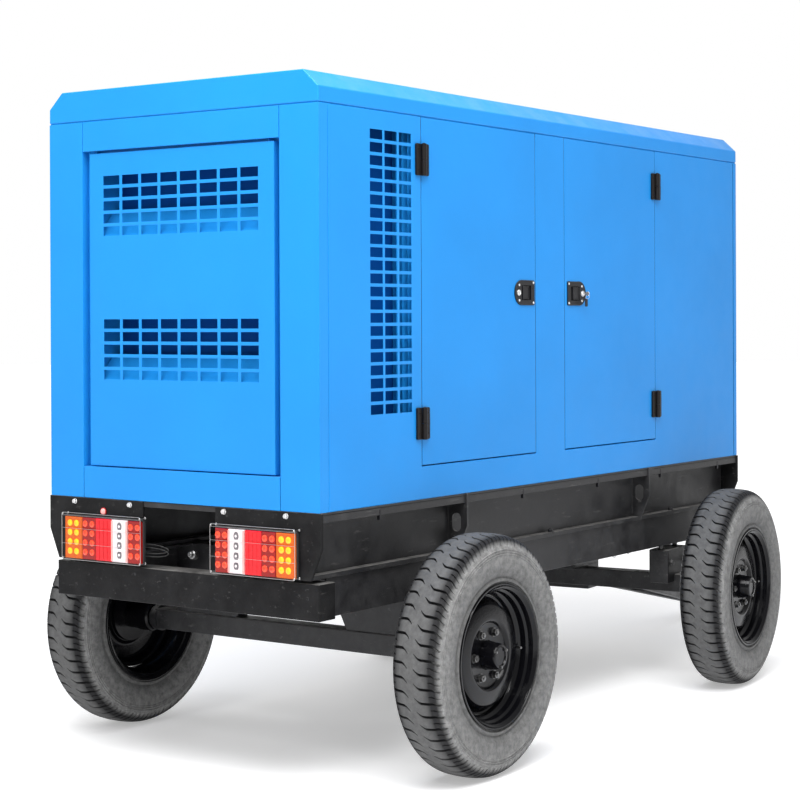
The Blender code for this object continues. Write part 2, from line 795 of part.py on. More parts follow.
def make_canopy(datum):
    make_roof(datum)
    make_rear(datum)
    make_front(datum)
    make_side("left_side", datum, 1)
    make_side("right_side", datum, -1)
    make_doors(datum)


def make_generating_set(datum):
    make_engine(datum)
    make_alternator(datum)
    make_cooling(datum)
    make_air_and_exhaust(datum)
    make_battery(datum)
    make_controls(datum)


clear_scene()
MATERIALS = make_materials()
DATUM = pivot("datum", (0, 0, 0))
DATUM.location.x = REAR_STATION
make_trailer(DATUM)
make_canopy(DATUM)
make_generating_set(DATUM)
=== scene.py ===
"""Looks for the towable diesel generator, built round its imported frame.

Metres, in the frame's axes: +X is the towing direction, +Y the left side, +Z up. Places along the
trailer are given as stations, measured forward from the canopy's rear face. DATUM carries them into
the frame, and STEERED does so for what turns with the front axle.
"""

import json
import math

import bmesh
import bpy
from mathutils import Matrix, Vector


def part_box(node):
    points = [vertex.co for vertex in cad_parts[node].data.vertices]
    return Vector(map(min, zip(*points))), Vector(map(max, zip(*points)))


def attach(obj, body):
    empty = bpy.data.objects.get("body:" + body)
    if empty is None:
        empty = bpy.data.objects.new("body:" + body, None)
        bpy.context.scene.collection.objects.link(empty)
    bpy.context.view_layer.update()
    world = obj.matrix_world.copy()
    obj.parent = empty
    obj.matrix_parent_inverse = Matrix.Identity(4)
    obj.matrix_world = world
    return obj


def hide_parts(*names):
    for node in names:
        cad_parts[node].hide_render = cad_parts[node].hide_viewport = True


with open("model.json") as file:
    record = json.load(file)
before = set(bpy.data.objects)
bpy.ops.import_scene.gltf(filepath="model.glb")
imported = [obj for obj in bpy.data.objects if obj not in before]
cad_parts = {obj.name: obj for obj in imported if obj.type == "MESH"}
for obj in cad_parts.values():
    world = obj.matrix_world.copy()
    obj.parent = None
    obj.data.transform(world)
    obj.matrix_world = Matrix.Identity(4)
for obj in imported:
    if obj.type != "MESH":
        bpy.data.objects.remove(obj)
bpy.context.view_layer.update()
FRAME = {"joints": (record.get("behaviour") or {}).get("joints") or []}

# --- Driving dimensions, read from the frame ----------------------------------------------

JOINTS = {joint["name"]: joint for joint in FRAME["joints"]}
SIDES = (("left", 1), ("right", -1))

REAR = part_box("roof_cap")[0].x
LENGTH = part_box("roof_cap")[1].x - REAR
HALF_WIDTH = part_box("roof_cap")[1].y
ROOF_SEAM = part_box("roof_cap")[0].z
ROOF_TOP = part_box("roof_cap")[1].z
ROOF_EDGE = 2.096
ROOF_INSET = 0.056
CANOPY_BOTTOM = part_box("rear_frame")[0].z
SILL_TOP = 0.953
DOORS = {
    place: (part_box(f"right_{place}_door")[0].x - REAR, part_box(f"right_{place}_door")[1].x - REAR)
    for place in ("rear", "front")
}
DOOR_LOW, DOOR_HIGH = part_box("right_rear_door")[0].z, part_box("right_rear_door")[1].z
SKID_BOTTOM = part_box("skid_base")[0].z
CHASSIS_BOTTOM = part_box("chassis_frame")[0].z

WHEEL_RADIUS = JOINTS["rear_left_wheel_spin"]["pos_m"][2]
REAR_AXLE = JOINTS["rear_left_wheel_spin"]["pos_m"][0] - REAR
TURNTABLE = JOINTS["steer"]["pos_m"][0] - REAR
STEER = -math.asin(JOINTS["front_left_wheel_spin"]["axis"][0])

DATUM = Matrix.Translation((REAR, 0, 0))
STEERED = (
    Matrix.Translation((REAR + TURNTABLE, 0, 0))
    @ Matrix.Rotation(STEER, 4, "Z")
    @ Matrix.Translation((-TURNTABLE, 0, 0))
)
HERE = Matrix.Identity(4)
BACKWARD, UPWARD, DOWNWARD = (-1, 0, 0), (0, 0, 1), (0, 0, -1)

# --- Materials ----------------------------------------------------------------------------


class Finish:
    """A material that is built up by nodes, in the piece's own coordinates in metres."""

    def __init__(self, name, roughness, metallic=0.0, **sockets):
        self.material = bpy.data.materials.new(name)
        self.material.use_nodes = True
        self.tree = self.material.node_tree
        self.shader = self.tree.nodes["Principled BSDF"]
        self.shader.inputs["Roughness"].default_value = roughness
        self.shader.inputs["Metallic"].default_value = metallic
        for socket, value in sockets.items():
            self.shader.inputs[socket.replace("_", " ")].default_value = value
        self.place = self.node("ShaderNodeTexCoord").outputs["Object"]

    def node(self, kind, inputs=(), **settings):
        made = self.tree.nodes.new(kind)
        for name, value in settings.items():
            setattr(made, name, value)
        for socket, value in dict(inputs).items():
            self.feed(made.inputs[socket], value)
        return made

    def feed(self, socket, value):
        if isinstance(value, bpy.types.NodeSocket):
            self.tree.links.new(value, socket)
        else:
            socket.default_value = value

    def noise(self, scale, detail=3.0, roughness=0.55, stretch=None):
        """Noise between 0 and 1, with about `scale` patches in a metre."""
        at = self.place
        if stretch:
            at = self.node("ShaderNodeMapping", {"Vector": at, "Scale": stretch}).outputs[0]
        made = self.node(
            "ShaderNodeTexNoise",
            {"Vector": at, "Scale": scale, "Detail": detail, "Roughness": roughness},
        )
        return made.outputs["Fac"]

    def ramp(self, value, low, high, out_low=0.0, out_high=1.0):
        limits = {"From Min": low, "From Max": high, "To Min": out_low, "To Max": out_high}
        return self.node("ShaderNodeMapRange", {"Value": value, **limits}).outputs["Result"]

    def times(self, first, second, operation="MULTIPLY"):
        return self.node("ShaderNodeMath", {0: first, 1: second}, operation=operation).outputs[0]

    def mix(self, factor, first, second):
        """One colour turned into another; plain colours are given by three numbers."""
        made = self.node("ShaderNodeMix", data_type="RGBA")
        self.feed(made.inputs["Factor"], factor)
        sockets = [socket for socket in made.inputs if socket.type == "RGBA"]
        for socket, colour in zip(sockets, (first, second)):
            self.feed(socket, colour if isinstance(colour, bpy.types.NodeSocket) else (*colour, 1.0))
        return next(socket for socket in made.outputs if socket.type == "RGBA")

    def upward(self):
        """1 on faces that look up, 0 on walls and undersides."""
        normal = self.node("ShaderNodeNewGeometry").outputs["Normal"]
        height = self.node("ShaderNodeSeparateXYZ", {0: normal}).outputs["Z"]
        return self.ramp(height, 0.3, 0.95)

    def bump(self, height, distance, strength=1.0, below=None):
        inputs = {"Height": height, "Distance": distance, "Strength": strength}
        if below is not None:
            inputs["Normal"] = below
        return self.node("ShaderNodeBump", inputs).outputs["Normal"]

    def finish(self, colour=None, roughness=None, normal=None):
        if colour is not None:
            self.feed(self.shader.inputs["Base Color"], colour)
        if roughness is not None:
            self.feed(self.shader.inputs["Roughness"], roughness)
        if normal is not None:
            self.feed(self.shader.inputs["Normal"], normal)
        return self.material


def shade(colour, factor):
    return tuple(part * factor for part in colour)


def powder_coat(name, colour, roughness, dust=(0.5, 0.5, 0.5), dusty=0.10, gloss=0.22):
    """Sprayed paint with orange peel, a faint cloudiness, specks and dust on what looks up."""
    f = Finish(name, roughness, Specular_IOR_Level=gloss)
    cloud = f.noise(2.3, 4)
    base = f.mix(f.ramp(cloud, 0.3, 0.7), shade(colour, 0.94), shade(colour, 1.05))
    specks = f.ramp(f.noise(420, 2, 0.7), 0.35, 0.65)
    base = f.mix(f.times(specks, 0.35), base, shade(colour, 0.86))
    settled = f.times(f.upward(), f.ramp(f.noise(9, 5, 0.65), 0.42, 0.75, 0.0, dusty))
    base = f.mix(settled, base, dust)
    rough = f.ramp(f.noise(14, 4), 0.3, 0.7, roughness * 0.85, roughness * 1.2)
    peel = f.bump(f.noise(260, 2), 0.00025)
    return f.finish(base, rough, f.bump(cloud, 0.0015, 0.4, peel))


def chassis_enamel(name, tone):
    """Black enamel over rolled steel: mottled, dusty on its flanges, scuffed to grey in places."""
    f = Finish(name, 0.42, Specular_IOR_Level=0.20 * tone)
    black, worn = shade((0.010, 0.010, 0.011), tone), shade((0.028, 0.028, 0.029), tone)
    dust = (0.19, 0.185, 0.18)
    mottle = f.noise(11, 6, 0.65)
    base = f.mix(f.ramp(mottle, 0.38, 0.72), black, worn)
    scuffs = f.ramp(f.noise(34, 6, 0.75, stretch=(0.25, 1, 1.6)), 0.60, 0.72)
    base = f.mix(f.times(scuffs, 0.35), base, dust)
    settled = f.times(f.upward(), f.ramp(f.noise(18, 5, 0.7), 0.3, 0.62, 0.15, 0.95))
    base = f.mix(settled, base, dust)
    rough = f.ramp(mottle, 0.3, 0.75, 0.30, 0.62)
    rolled = f.bump(f.noise(190, 4, 0.7), 0.0004)
    return f.finish(base, rough, f.bump(mottle, 0.0012, 0.5, rolled))


def tyre_rubber():
    """Worn grey on the tread's lugs; black in its grooves, partly the rubber's own black and partly
    painted shade; dusty on the sidewalls.
    """
    f = Finish("tyre_rubber_skin", 0.8, Specular_IOR_Level=0.3)
    radius = f.node("ShaderNodeAttribute", attribute_name="from_axle").outputs["Fac"]
    patches = f.noise(48, 7, 0.72)
    rubber, worn, dust = (0.011, 0.011, 0.012), (0.112, 0.112, 0.112), (0.36, 0.36, 0.355)
    # below the lug tops the grooves stay black: partly the rubber's own black, partly painted shade
    # in the grooves
    top = f.ramp(radius, WHEEL_RADIUS - 0.0080, WHEEL_RADIUS - 0.0015)
    base = f.mix(f.times(top, f.ramp(patches, 0.3, 0.65, 0.45, 1.0)), rubber, worn)
    on_side = f.ramp(radius, WHEEL_RADIUS - 0.018, WHEEL_RADIUS - 0.034)
    inner = f.ramp(radius, 0.24, 0.335, 0.55, 1.0)
    settled = f.times(f.times(on_side, inner), f.ramp(patches, 0.32, 0.66, 0.26, 0.72))
    base = f.mix(settled, base, dust)
    streaks = f.ramp(f.noise(70, 4, 0.7), 0.55, 0.75, 0.0, 0.35)
    base = f.mix(f.times(streaks, on_side), base, rubber)
    rough = f.ramp(patches, 0.3, 0.7, 0.62, 0.92)
    return f.finish(base, rough, f.bump(f.noise(330, 5, 0.75), 0.0006))


def gloss_black():
    """The wheels' enamel: deep gloss, with dust and a few dull patches."""
    f = Finish("gloss_black_enamel", 0.14, Specular_IOR_Level=0.20)
    patches = f.noise(30, 5, 0.65)
    base = f.mix(f.ramp(patches, 0.55, 0.8, 0.0, 0.4), (0.003, 0.003, 0.004), (0.02, 0.02, 0.02))
    rough = f.ramp(patches, 0.35, 0.75, 0.10, 0.26)
    return f.finish(base, rough, f.bump(f.noise(120, 3), 0.0002))


def bare_steel(name="bare_steel_skin", tone=0.42, rust=0.25):
    """Machined or zinc-plated steel with fine scratches and a little rust bloom."""
    f = Finish(name, 0.35, metallic=1.0)
    scratches = f.noise(300, 3, 0.6, stretch=(1, 1, 12))
    base = f.mix(f.ramp(scratches, 0.3, 0.7), (tone * 0.8,) * 3, (tone * 1.15,) * 3)
    bloom = f.ramp(f.noise(45, 6, 0.7), 0.56, 0.72, 0.0, rust)
    base = f.mix(bloom, base, (0.16, 0.09, 0.05))
    rough = f.ramp(scratches, 0.3, 0.7, 0.26, 0.48)
    return f.finish(base, rough, f.bump(scratches, 0.0001))


def moulded(name, colour, roughness, grain=0.00015):
    """Moulded plastic with a fine spark-eroded grain."""
    f = Finish(name, roughness, Specular_IOR_Level=0.25)
    cloud = f.noise(40, 4)
    base = f.mix(f.ramp(cloud, 0.3, 0.7), shade(colour, 0.8), shade(colour, 1.25))
    base = f.mix(f.times(f.upward(), 0.12), base, (0.4, 0.4, 0.4))
    rough = f.ramp(cloud, 0.3, 0.7, roughness * 0.8, roughness * 1.2)
    return f.finish(base, rough, f.bump(f.noise(900, 2), grain))


def lens(name, colour, deep):
    """A lamp lens: glossy, coloured through, with moulded prisms behind its face."""
    f = Finish(name, 0.16, Specular_IOR_Level=0.25, Coat_Weight=0.25, Coat_Roughness=0.05)
    cells = f.node(
        "ShaderNodeTexVoronoi", {"Vector": f.place, "Scale": 260.0, "Randomness": 0.0}
    ).outputs["Distance"]
    base = f.mix(f.ramp(cells, 0.15, 0.6), colour, deep)
    rough = f.ramp(f.noise(60, 3), 0.3, 0.7, 0.08, 0.2)
    return f.finish(base, rough, f.bump(cells, 0.0006))


def foam():
    """Flame-resistant acoustic foam, with open cells."""
    f = Finish("acoustic_foam", 0.95, Specular_IOR_Level=0.15)
    cells = f.noise(650, 5, 0.8)
    base = f.mix(f.ramp(cells, 0.35, 0.65), (0.008, 0.008, 0.009), (0.035, 0.035, 0.038))
    return f.finish(base, None, f.bump(cells, 0.0012))


def make_finishes():
    blue = (0.010, 0.219, 0.605)
    return {
        "canopy": powder_coat("canopy_powder_coat", blue, 0.34),
        "chassis": chassis_enamel("chassis_enamel", 1.4),
        # a darker copy of the chassis enamel for the bumper and the skid's end plates: painted shade
        "rear_end": chassis_enamel("rear_end_enamel", 0.55),
        "tyre": tyre_rubber(),
        "wheel": gloss_black(),
        "steel": bare_steel(),
        "zinc": bare_steel("zinc_plate", 0.72, 0.06),
        "chrome": bare_steel("chrome_wire", 0.80, 0.03),
        "hinge": powder_coat("hinge_enamel", (0.007, 0.006, 0.006), 0.36, dusty=0.1),
        "latch": moulded("latch_moulding", (0.009, 0.009, 0.011), 0.34),
        "plastic": moulded("black_moulding", (0.020, 0.020, 0.021), 0.5),
        "deep_red_lens": lens("deep_red_lens", (0.46, 0.012, 0.006), (0.20, 0.003, 0.002)),
        "red_lens": lens("red_lens", (0.80, 0.014, 0.026), (0.62, 0.008, 0.014)),
        "amber_lens": lens("amber_lens", (0.78, 0.170, 0.003), (0.50, 0.070, 0.001)),
        "clear_lens": lens("clear_lens", (0.90, 0.84, 0.85), (0.70, 0.62, 0.63)),
        "pink_lens": lens("pink_frame", (1.0, 0.46, 0.42), (0.90, 0.34, 0.32)),
        # the red and amber optics are lighter than their lenses: partly their own colour, partly a
        # painted highlight
        "red_spot": lens("red_spot", (1.0, 0.16, 0.06), (0.78, 0.02, 0.01)),
        "amber_spot": lens("amber_spot", (1.0, 0.66, 0.03), (1.0, 0.40, 0.01)),
        "smoked_spot": lens("smoked_spot", (0.30, 0.27, 0.28), (0.10, 0.09, 0.10)),
        "foam": foam(),
        "baffle": powder_coat("baffle_coat", shade(blue, 0.95), 0.5, dusty=0.0, gloss=0.05),
        # dark navy duct walls: painted shade inside the canopy, seen through the vents
        "duct": powder_coat("duct_coat", (0.001, 0.056, 0.260), 0.6, dusty=0.0, gloss=0.04),
        "nut": bare_steel("wheel_nut_steel", 0.16, 0.10),
        "engine": powder_coat("engine_enamel", (0.12, 0.13, 0.14), 0.42, dusty=0.25),
        "alternator": powder_coat("alternator_enamel", (0.03, 0.10, 0.30), 0.4, dusty=0.2),
        "aluminium": bare_steel("radiator_aluminium_skin", 0.62, 0.0),
        "stop": moulded("stop_button_red", (0.70, 0.012, 0.010), 0.3),
        "yellow": moulded("warning_yellow", (0.85, 0.55, 0.02), 0.4),
        "grey": powder_coat("cabinet_grey", (0.42, 0.43, 0.44), 0.4),
        "screen": moulded("display_glass", (0.02, 0.05, 0.04), 0.12),
        "rubber": moulded("hose_rubber", (0.015, 0.015, 0.015), 0.65),
    }


# --- Shapes -------------------------------------------------------------------------------


def toward(origin, direction):
    """A placing whose own Z axis looks in a direction."""
    turn = Vector(direction).to_track_quat("Z", "Y").to_matrix().to_4x4()
    return Matrix.Translation(origin) @ turn


def along(axis, at):
    """A placing at a point, whose own Z axis lies along a trailer axis."""
    return toward(at, {"X": (1, 0, 0), "Y": (0, 1, 0)}[axis])


def vertical(x, y, z=0.0):
    return Matrix.Translation((x, y, z))


def span(side, near, far):
    """Two distances off the middle plane as coordinates on one side of it, in rising order."""
    return sorted((side * near, side * far))


def on_circle(radius, turns):
    """The point on a circle, a share of a whole turn round from its first axis."""
    angle = math.tau * turns
    return radius * math.cos(angle), radius * math.sin(angle)


class Shape:
    """Closed solids and open sheets, gathered as points and faces for one mesh."""

    def __init__(self):
        self.points, self.faces = [], []

    def add(self, points, faces, where=HERE):
        first = len(self.points)
        self.points += [where @ Vector(point) for point in points]
        self.faces += [tuple(first + i for i in face) for face in faces]

    def loft(self, loops, where=HERE, ends=True, around=True, closed=False):
        """Faces between loops of points that follow each other."""
        count, points = len(loops[0]), [point for loop in loops for point in loop]
        faces = []
        for near in range(len(loops) if closed else len(loops) - 1):
            a, b = near * count, (near + 1) % len(loops) * count
            for i in range(count if around else count - 1):
                j = (i + 1) % count
                faces.append((a + i, a + j, b + j, b + i))
        if ends and not closed:
            last = (len(loops) - 1) * count
            faces.append(tuple(range(count))[::-1])
            faces.append(tuple(range(last, last + count)))
        self.add(points, faces, where)

    def box(self, low, high, where=HERE):
        (x0, y0, z0), (x1, y1, z1) = low, high
        loops = [[(x0, y0, z), (x1, y0, z), (x1, y1, z), (x0, y1, z)] for z in (z0, z1)]
        self.loft(loops, where)

    def slab(self, xs, ys, zs):
        """A box given by its span along each axis."""
        self.box(*zip(xs, ys, zs))

    def section(self, outline, start, end, where=HERE):
        """An outline in the plane across X, extruded from one station to another."""
        self.loft([[(x, *point) for point in outline] for x in (start, end)], where)

    def prism(self, outline, low, high, where=HERE):
        """An outline in the plane across Z, extruded from one height to another."""
        self.loft([[(*point, z) for point in outline] for z in (low, high)], where)

    def turned(self, outline, where=HERE, sides=32):
        """A closed outline of (radius, height) points, turned about Z."""
        points, rings = [], []
        for radius, height in outline:
            count = sides if radius > 0 else 1
            ring = []
            for i in range(count):
                angle = math.tau * i / sides
                ring.append(len(points))
                points.append((radius * math.cos(angle), radius * math.sin(angle), height))
            rings.append(ring * (sides // count))
        faces = []
        for near, far in zip(rings, rings[1:] + rings[:1]):
            for i in range(sides):
                j = (i + 1) % sides
                corners = tuple(dict.fromkeys((near[i], near[j], far[j], far[i])))
                if len(corners) > 2:
                    faces.append(corners)
        self.add(points, faces, where)

    def rod(self, radius, low, high, where=HERE, sides=24, edge=0.0):
        """A cylinder about Z, with its two rims eased by `edge`."""
        outline = [(0, low), (radius - edge, low), (radius, low + edge)]
        outline += [(radius, high - edge), (radius - edge, high), (0, high)]
        if not edge:
            outline = [(0, low), (radius, low), (radius, high), (0, high)]
        self.turned(outline, where, sides)

    def dome(self, radius, height, where=HERE, sides=16, rings=4):
        outline = [(0, 0)]
        for i in range(rings + 1):
            angle = math.pi / 2 * i / rings
            outline.append((radius * math.cos(angle), height * math.sin(angle)))
        outline[-1] = (0, height)
        self.turned(outline, where, sides)

    def tube(self, path, radius, where=HERE, sides=8):
        """A round bar along a path of points."""
        path = [Vector(point) for point in path]
        loops, side = [], None
        for i, point in enumerate(path):
            ahead = (path[min(i + 1, len(path) - 1)] - path[max(i - 1, 0)]).normalized()
            if side is None:
                side = ahead.orthogonal().normalized()
            side = (side - ahead * side.dot(ahead)).normalized()
            other = ahead.cross(side)
            turns = [math.tau * k / sides for k in range(sides)]
            loops.append([point + (side * math.cos(t) + other * math.sin(t)) * radius for t in turns])
        self.loft(loops, where)

    def beam(self, start, end, width, depth, where=HERE):
        """A straight bar of rectangular section; its width lies level."""
        start, end = Vector(start), Vector(end)
        ahead = (end - start).normalized()
        level = ahead.cross(Vector((0, 0, 1))).normalized() * width / 2
        upright = level.cross(ahead).normalized() * depth / 2
        corners = (level + upright, level - upright, -level - upright, -level + upright)
        self.loft([[start + c for c in corners], [end + c for c in corners]], where)

    def bolt(self, size, where=HERE, stud=True):
        """A hexagon head or nut on a washer, `size` across its flats, with the bolt's end proud."""
        self.rod(size * 0.66, 0, size * 0.12, where, 20)
        corner = size / 2 / math.cos(math.pi / 6)
        top = size * 0.66
        outline = [(0, size * 0.1), (corner, size * 0.1), (corner, top - corner * 0.12)]
        outline += [(corner * 0.86, top), (0, top)]
        self.turned(outline, where, 6)
        if stud:
            self.rod(size * 0.28, top - 0.001, top + size * 0.18, where, 12, size * 0.04)


def rounded(low, high, radius, steps=4):
    """A rectangle's outline with round corners."""
    outline = []
    for turn, (cx, cy) in enumerate(
        (
            (high[0] - radius, high[1] - radius),
            (low[0] + radius, high[1] - radius),
            (low[0] + radius, low[1] + radius),
            (high[0] - radius, low[1] + radius),
        )
    ):
        for i in range(steps + 1):
            angle = math.pi / 2 * (turn + i / steps)
            outline.append((cx + radius * math.cos(angle), cy + radius * math.sin(angle)))
    return outline


# --- Pieces -------------------------------------------------------------------------------


def place(name, mesh, body, where=DATUM, slot=None, replaces=()):
    thing = bpy.data.objects.new(name, mesh)
    bpy.context.scene.collection.objects.link(thing)
    thing.matrix_world = where
    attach(thing, body)
    if replaces:
        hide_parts(*replaces)
    return thing


def mesh_of(name, shape, finish, smooth=35, outward=None):
    """The shape's mesh. An open sheet needs `outward`, the way its first face looks."""
    mesh = bpy.data.meshes.new(name)
    mesh.from_pydata(shape.points, [], shape.faces)
    body = bmesh.new()
    body.from_mesh(mesh)
    bmesh.ops.recalc_face_normals(body, faces=body.faces)
    body.faces.ensure_lookup_table()
    if outward is not None and body.faces[0].normal.dot(Vector(outward)) < 0:
        bmesh.ops.reverse_faces(body, faces=body.faces)
    body.to_mesh(mesh)
    body.free()
    mesh.shade_smooth()
    if smooth:
        mesh.set_sharp_from_angle(angle=math.radians(smooth))
    mesh.materials.append(FINISHES[finish])
    return mesh


def bevelled(thing, width, segments=2):
    """Eases the sharp edges, and keeps the flat faces flat to the light."""
    modifier = thing.modifiers.new("edges", "BEVEL")
    modifier.width = width
    modifier.segments = segments
    modifier.limit_method = "ANGLE"
    modifier.angle_limit = math.radians(38)
    modifier.harden_normals = True
    return thing


def flat_piece(name, shape, finish, body, edge=0.0012, segments=2, **placing):
    """A piece of flat faces, such as plate or section, with eased edges."""
    mesh = mesh_of(name, shape, finish, smooth=None)
    return bevelled(place(name, mesh, body, **placing), edge, segments)


def round_piece(name, shape, finish, body, smooth=35, **placing):
    """A piece with turned faces."""
    return place(name, mesh_of(name, shape, finish, smooth), body, **placing)


def sheet_piece(name, shape, finish, body, outward, skin=0.002, fold=0.0028, **placing):
    """A pressed sheet with round folds, made thick by `skin` inwards from its outer face."""
    mesh = mesh_of(name, shape, finish, smooth=None, outward=outward)
    thing = place(name, mesh, body, **placing)
    bevelled(thing, fold, 3).modifiers["edges"].harden_normals = False
    solid = thing.modifiers.new("skin", "SOLIDIFY")
    solid.thickness = skin
    solid.offset = -1
    solid.use_even_offset = True
    rims = thing.modifiers.new("rims", "BEVEL")
    rims.width = 0.0006
    rims.limit_method = "ANGLE"
    rims.angle_limit = math.radians(60)
    thing.modifiers.new("flat_faces", "WEIGHTED_NORMAL")
    return thing


def slots(low, high, count, bar):
    """The edges of `count` equal openings between two limits, with bars between them."""
    size = (high - low - (count - 1) * bar) / count
    return [
        (low + i * (size + bar), low + i * (size + bar) + size) for i in range(count)
    ]


def folded_sheet(across, up, vents, voids, fold, at):
    """An open sheet on a grid of rectangular cells, its outer edges folded back by `fold`.

    Vents are punched holes and stay sharp; voids are openings whose edges are folded too. Each is
    ((low, high), (low, high)). `at` gives the point for (across, up, depth).
    """
    us, vs = set(across), set(up)
    for (u0, u1), (v0, v1) in [*vents, *voids]:
        us |= {u0, u1}
        vs |= {v0, v1}
    us = sorted(u for u in us if across[0] <= u <= across[1])
    vs = sorted(v for v in vs if up[0] <= v <= up[1])

    def kind(i, j):
        if not (0 <= i < len(us) - 1 and 0 <= j < len(vs) - 1):
            return "void"
        u, v = (us[i] + us[i + 1]) / 2, (vs[j] + vs[j + 1]) / 2
        for name, areas in (("vent", vents), ("void", voids)):
            if any(u0 < u < u1 and v0 < v < v1 for (u0, u1), (v0, v1) in areas):
                return name
        return "sheet"

    shape, index = Shape(), {}

    def point(i, j, depth):
        if (i, j, depth) not in index:
            index[i, j, depth] = len(shape.points)
            shape.points.append(Vector(at(us[i], vs[j], depth)))
        return index[i, j, depth]

    kinds = {(i, j): kind(i, j) for i in range(-1, len(us)) for j in range(-1, len(vs))}
    for (i, j), found in kinds.items():
        if found != "sheet":
            continue
        corners = [(i, j), (i + 1, j), (i + 1, j + 1), (i, j + 1)]
        shape.faces.append(tuple(point(*corner, 0) for corner in corners))
        beside = ((i, j - 1), (i + 1, j), (i, j + 1), (i - 1, j))
        for number, neighbour in enumerate(beside):
            if fold and kinds[neighbour] == "void":
                a, b = corners[number], corners[(number + 1) % 4]
                shape.faces.append((point(*b, 0), point(*a, 0), point(*a, fold), point(*b, fold)))
    return shape


FINISHES = make_finishes()

# --- Canopy -------------------------------------------------------------------------------

SEAM = 0.003
RECESS = (0.402, 0.950, 1.953)  # half width, bottom and top of the rear frame's rebate
PANEL_HALF, PANEL_LOW, PANEL_HIGH = 0.378, 0.953, 1.945
REAR_VENT_HALF = 0.317
REAR_VENTS = ((1.228, 1.418), (1.682, 1.872))
SIDE_VENT, SIDE_VENT_HEIGHTS = (0.253, 0.470), (1.126, 1.990)
FOLD = 0.026
LEVEL_BAR, UPRIGHT_BAR, SIDE_BAR = 0.0105, 0.0115, 0.0100  # sheet left between the punched holes
DOOR_GAP = 0.0015
UNDER_SEAM = ROOF_SEAM - SEAM
POST_DEPTH, SILL_DEPTH, REBATE_BACK = 0.044, 0.030, 0.043  # forward from the canopy's rear face
REAR_OPENING_HALF = 0.352
REAR_WALL = (0.118, 0.120)  # the sheet behind the rear vents, painted dark navy as the shade inside the canopy
DUCT, DUCT_HEIGHTS, DUCT_DEPTH = (0.236, 0.496), (1.00, 2.03), 0.090
FIN_DEPTHS = (0.018, 0.040, 0.062)


def make_roof():
    outline = [
        (-HALF_WIDTH, ROOF_SEAM),
        (HALF_WIDTH, ROOF_SEAM),
        (HALF_WIDTH, ROOF_EDGE),
        (HALF_WIDTH - ROOF_INSET, ROOF_TOP),
        (ROOF_INSET - HALF_WIDTH, ROOF_TOP),
        (-HALF_WIDTH, ROOF_EDGE),
    ]
    roof = Shape()
    roof.section(outline, 0.0, LENGTH)
    flat_piece(
        "roof_sheet", roof, "canopy", "trailer", 0.004, 3, slot="canopy_paint", replaces=["roof_cap"]
    )
    flange = Shape()
    half = HALF_WIDTH - 0.003
    flange.box((0.003, -half, ROOF_SEAM - 0.0027), (LENGTH - 0.003, half, ROOF_SEAM - 0.0003))
    flat_piece("roof_flange", flange, "baffle", "trailer", 0.0004, slot="canopy_paint")


def grid_of_vents(columns, rows):
    return [(column, row) for column in columns for row in rows]


def make_rear():
    """Two corner posts, a header and a sill round a rebate, and the punched panel in it."""
    half, low, high = RECESS
    frame = Shape()
    for side in (1, -1):
        ys = span(side, half + 0.001, HALF_WIDTH - 0.0005)
        frame.box((0, ys[0], CANOPY_BOTTOM), (POST_DEPTH, ys[1], UNDER_SEAM))
        ys = span(side, REAR_OPENING_HALF, REAR_OPENING_HALF + 0.003)
        frame.slab((0.012, 0.13), ys, (low, high))
    frame.box((0, -half + 0.001, CANOPY_BOTTOM), (SILL_DEPTH, half - 0.001, low))
    frame.box((0, -half + 0.001, high), (SILL_DEPTH, half - 0.001, UNDER_SEAM))
    for side in (1, -1):
        ys = span(side, REAR_OPENING_HALF - 0.002, half + 0.01)
        frame.slab((SILL_DEPTH, REBATE_BACK), ys, (low - 0.01, high + 0.01))
    ys = (-REAR_OPENING_HALF, REAR_OPENING_HALF)
    frame.slab((SILL_DEPTH - 0.0015, REBATE_BACK), ys, (high - 0.030, high + 0.01))
    flat_piece(
        "rear_posts", frame, "canopy", "trailer", 0.0016, slot="canopy_paint", replaces=["rear_frame"]
    )

    columns = slots(-REAR_VENT_HALF, REAR_VENT_HALF, 8, UPRIGHT_BAR)
    vents = []
    for height in REAR_VENTS:
        vents += grid_of_vents(columns, slots(*height, 5, LEVEL_BAR))
    panel = folded_sheet(
        (-PANEL_HALF, PANEL_HALF),
        (PANEL_LOW, PANEL_HIGH),
        vents,
        [],
        0.022,
        lambda u, v, depth: (0.006 + depth, u, v),
    )
    sheet_piece(
        "rear_punched_panel", panel, "canopy", "trailer", (-1, 0, 0),
        slot="canopy_paint", replaces=["rear_panel"],
    )


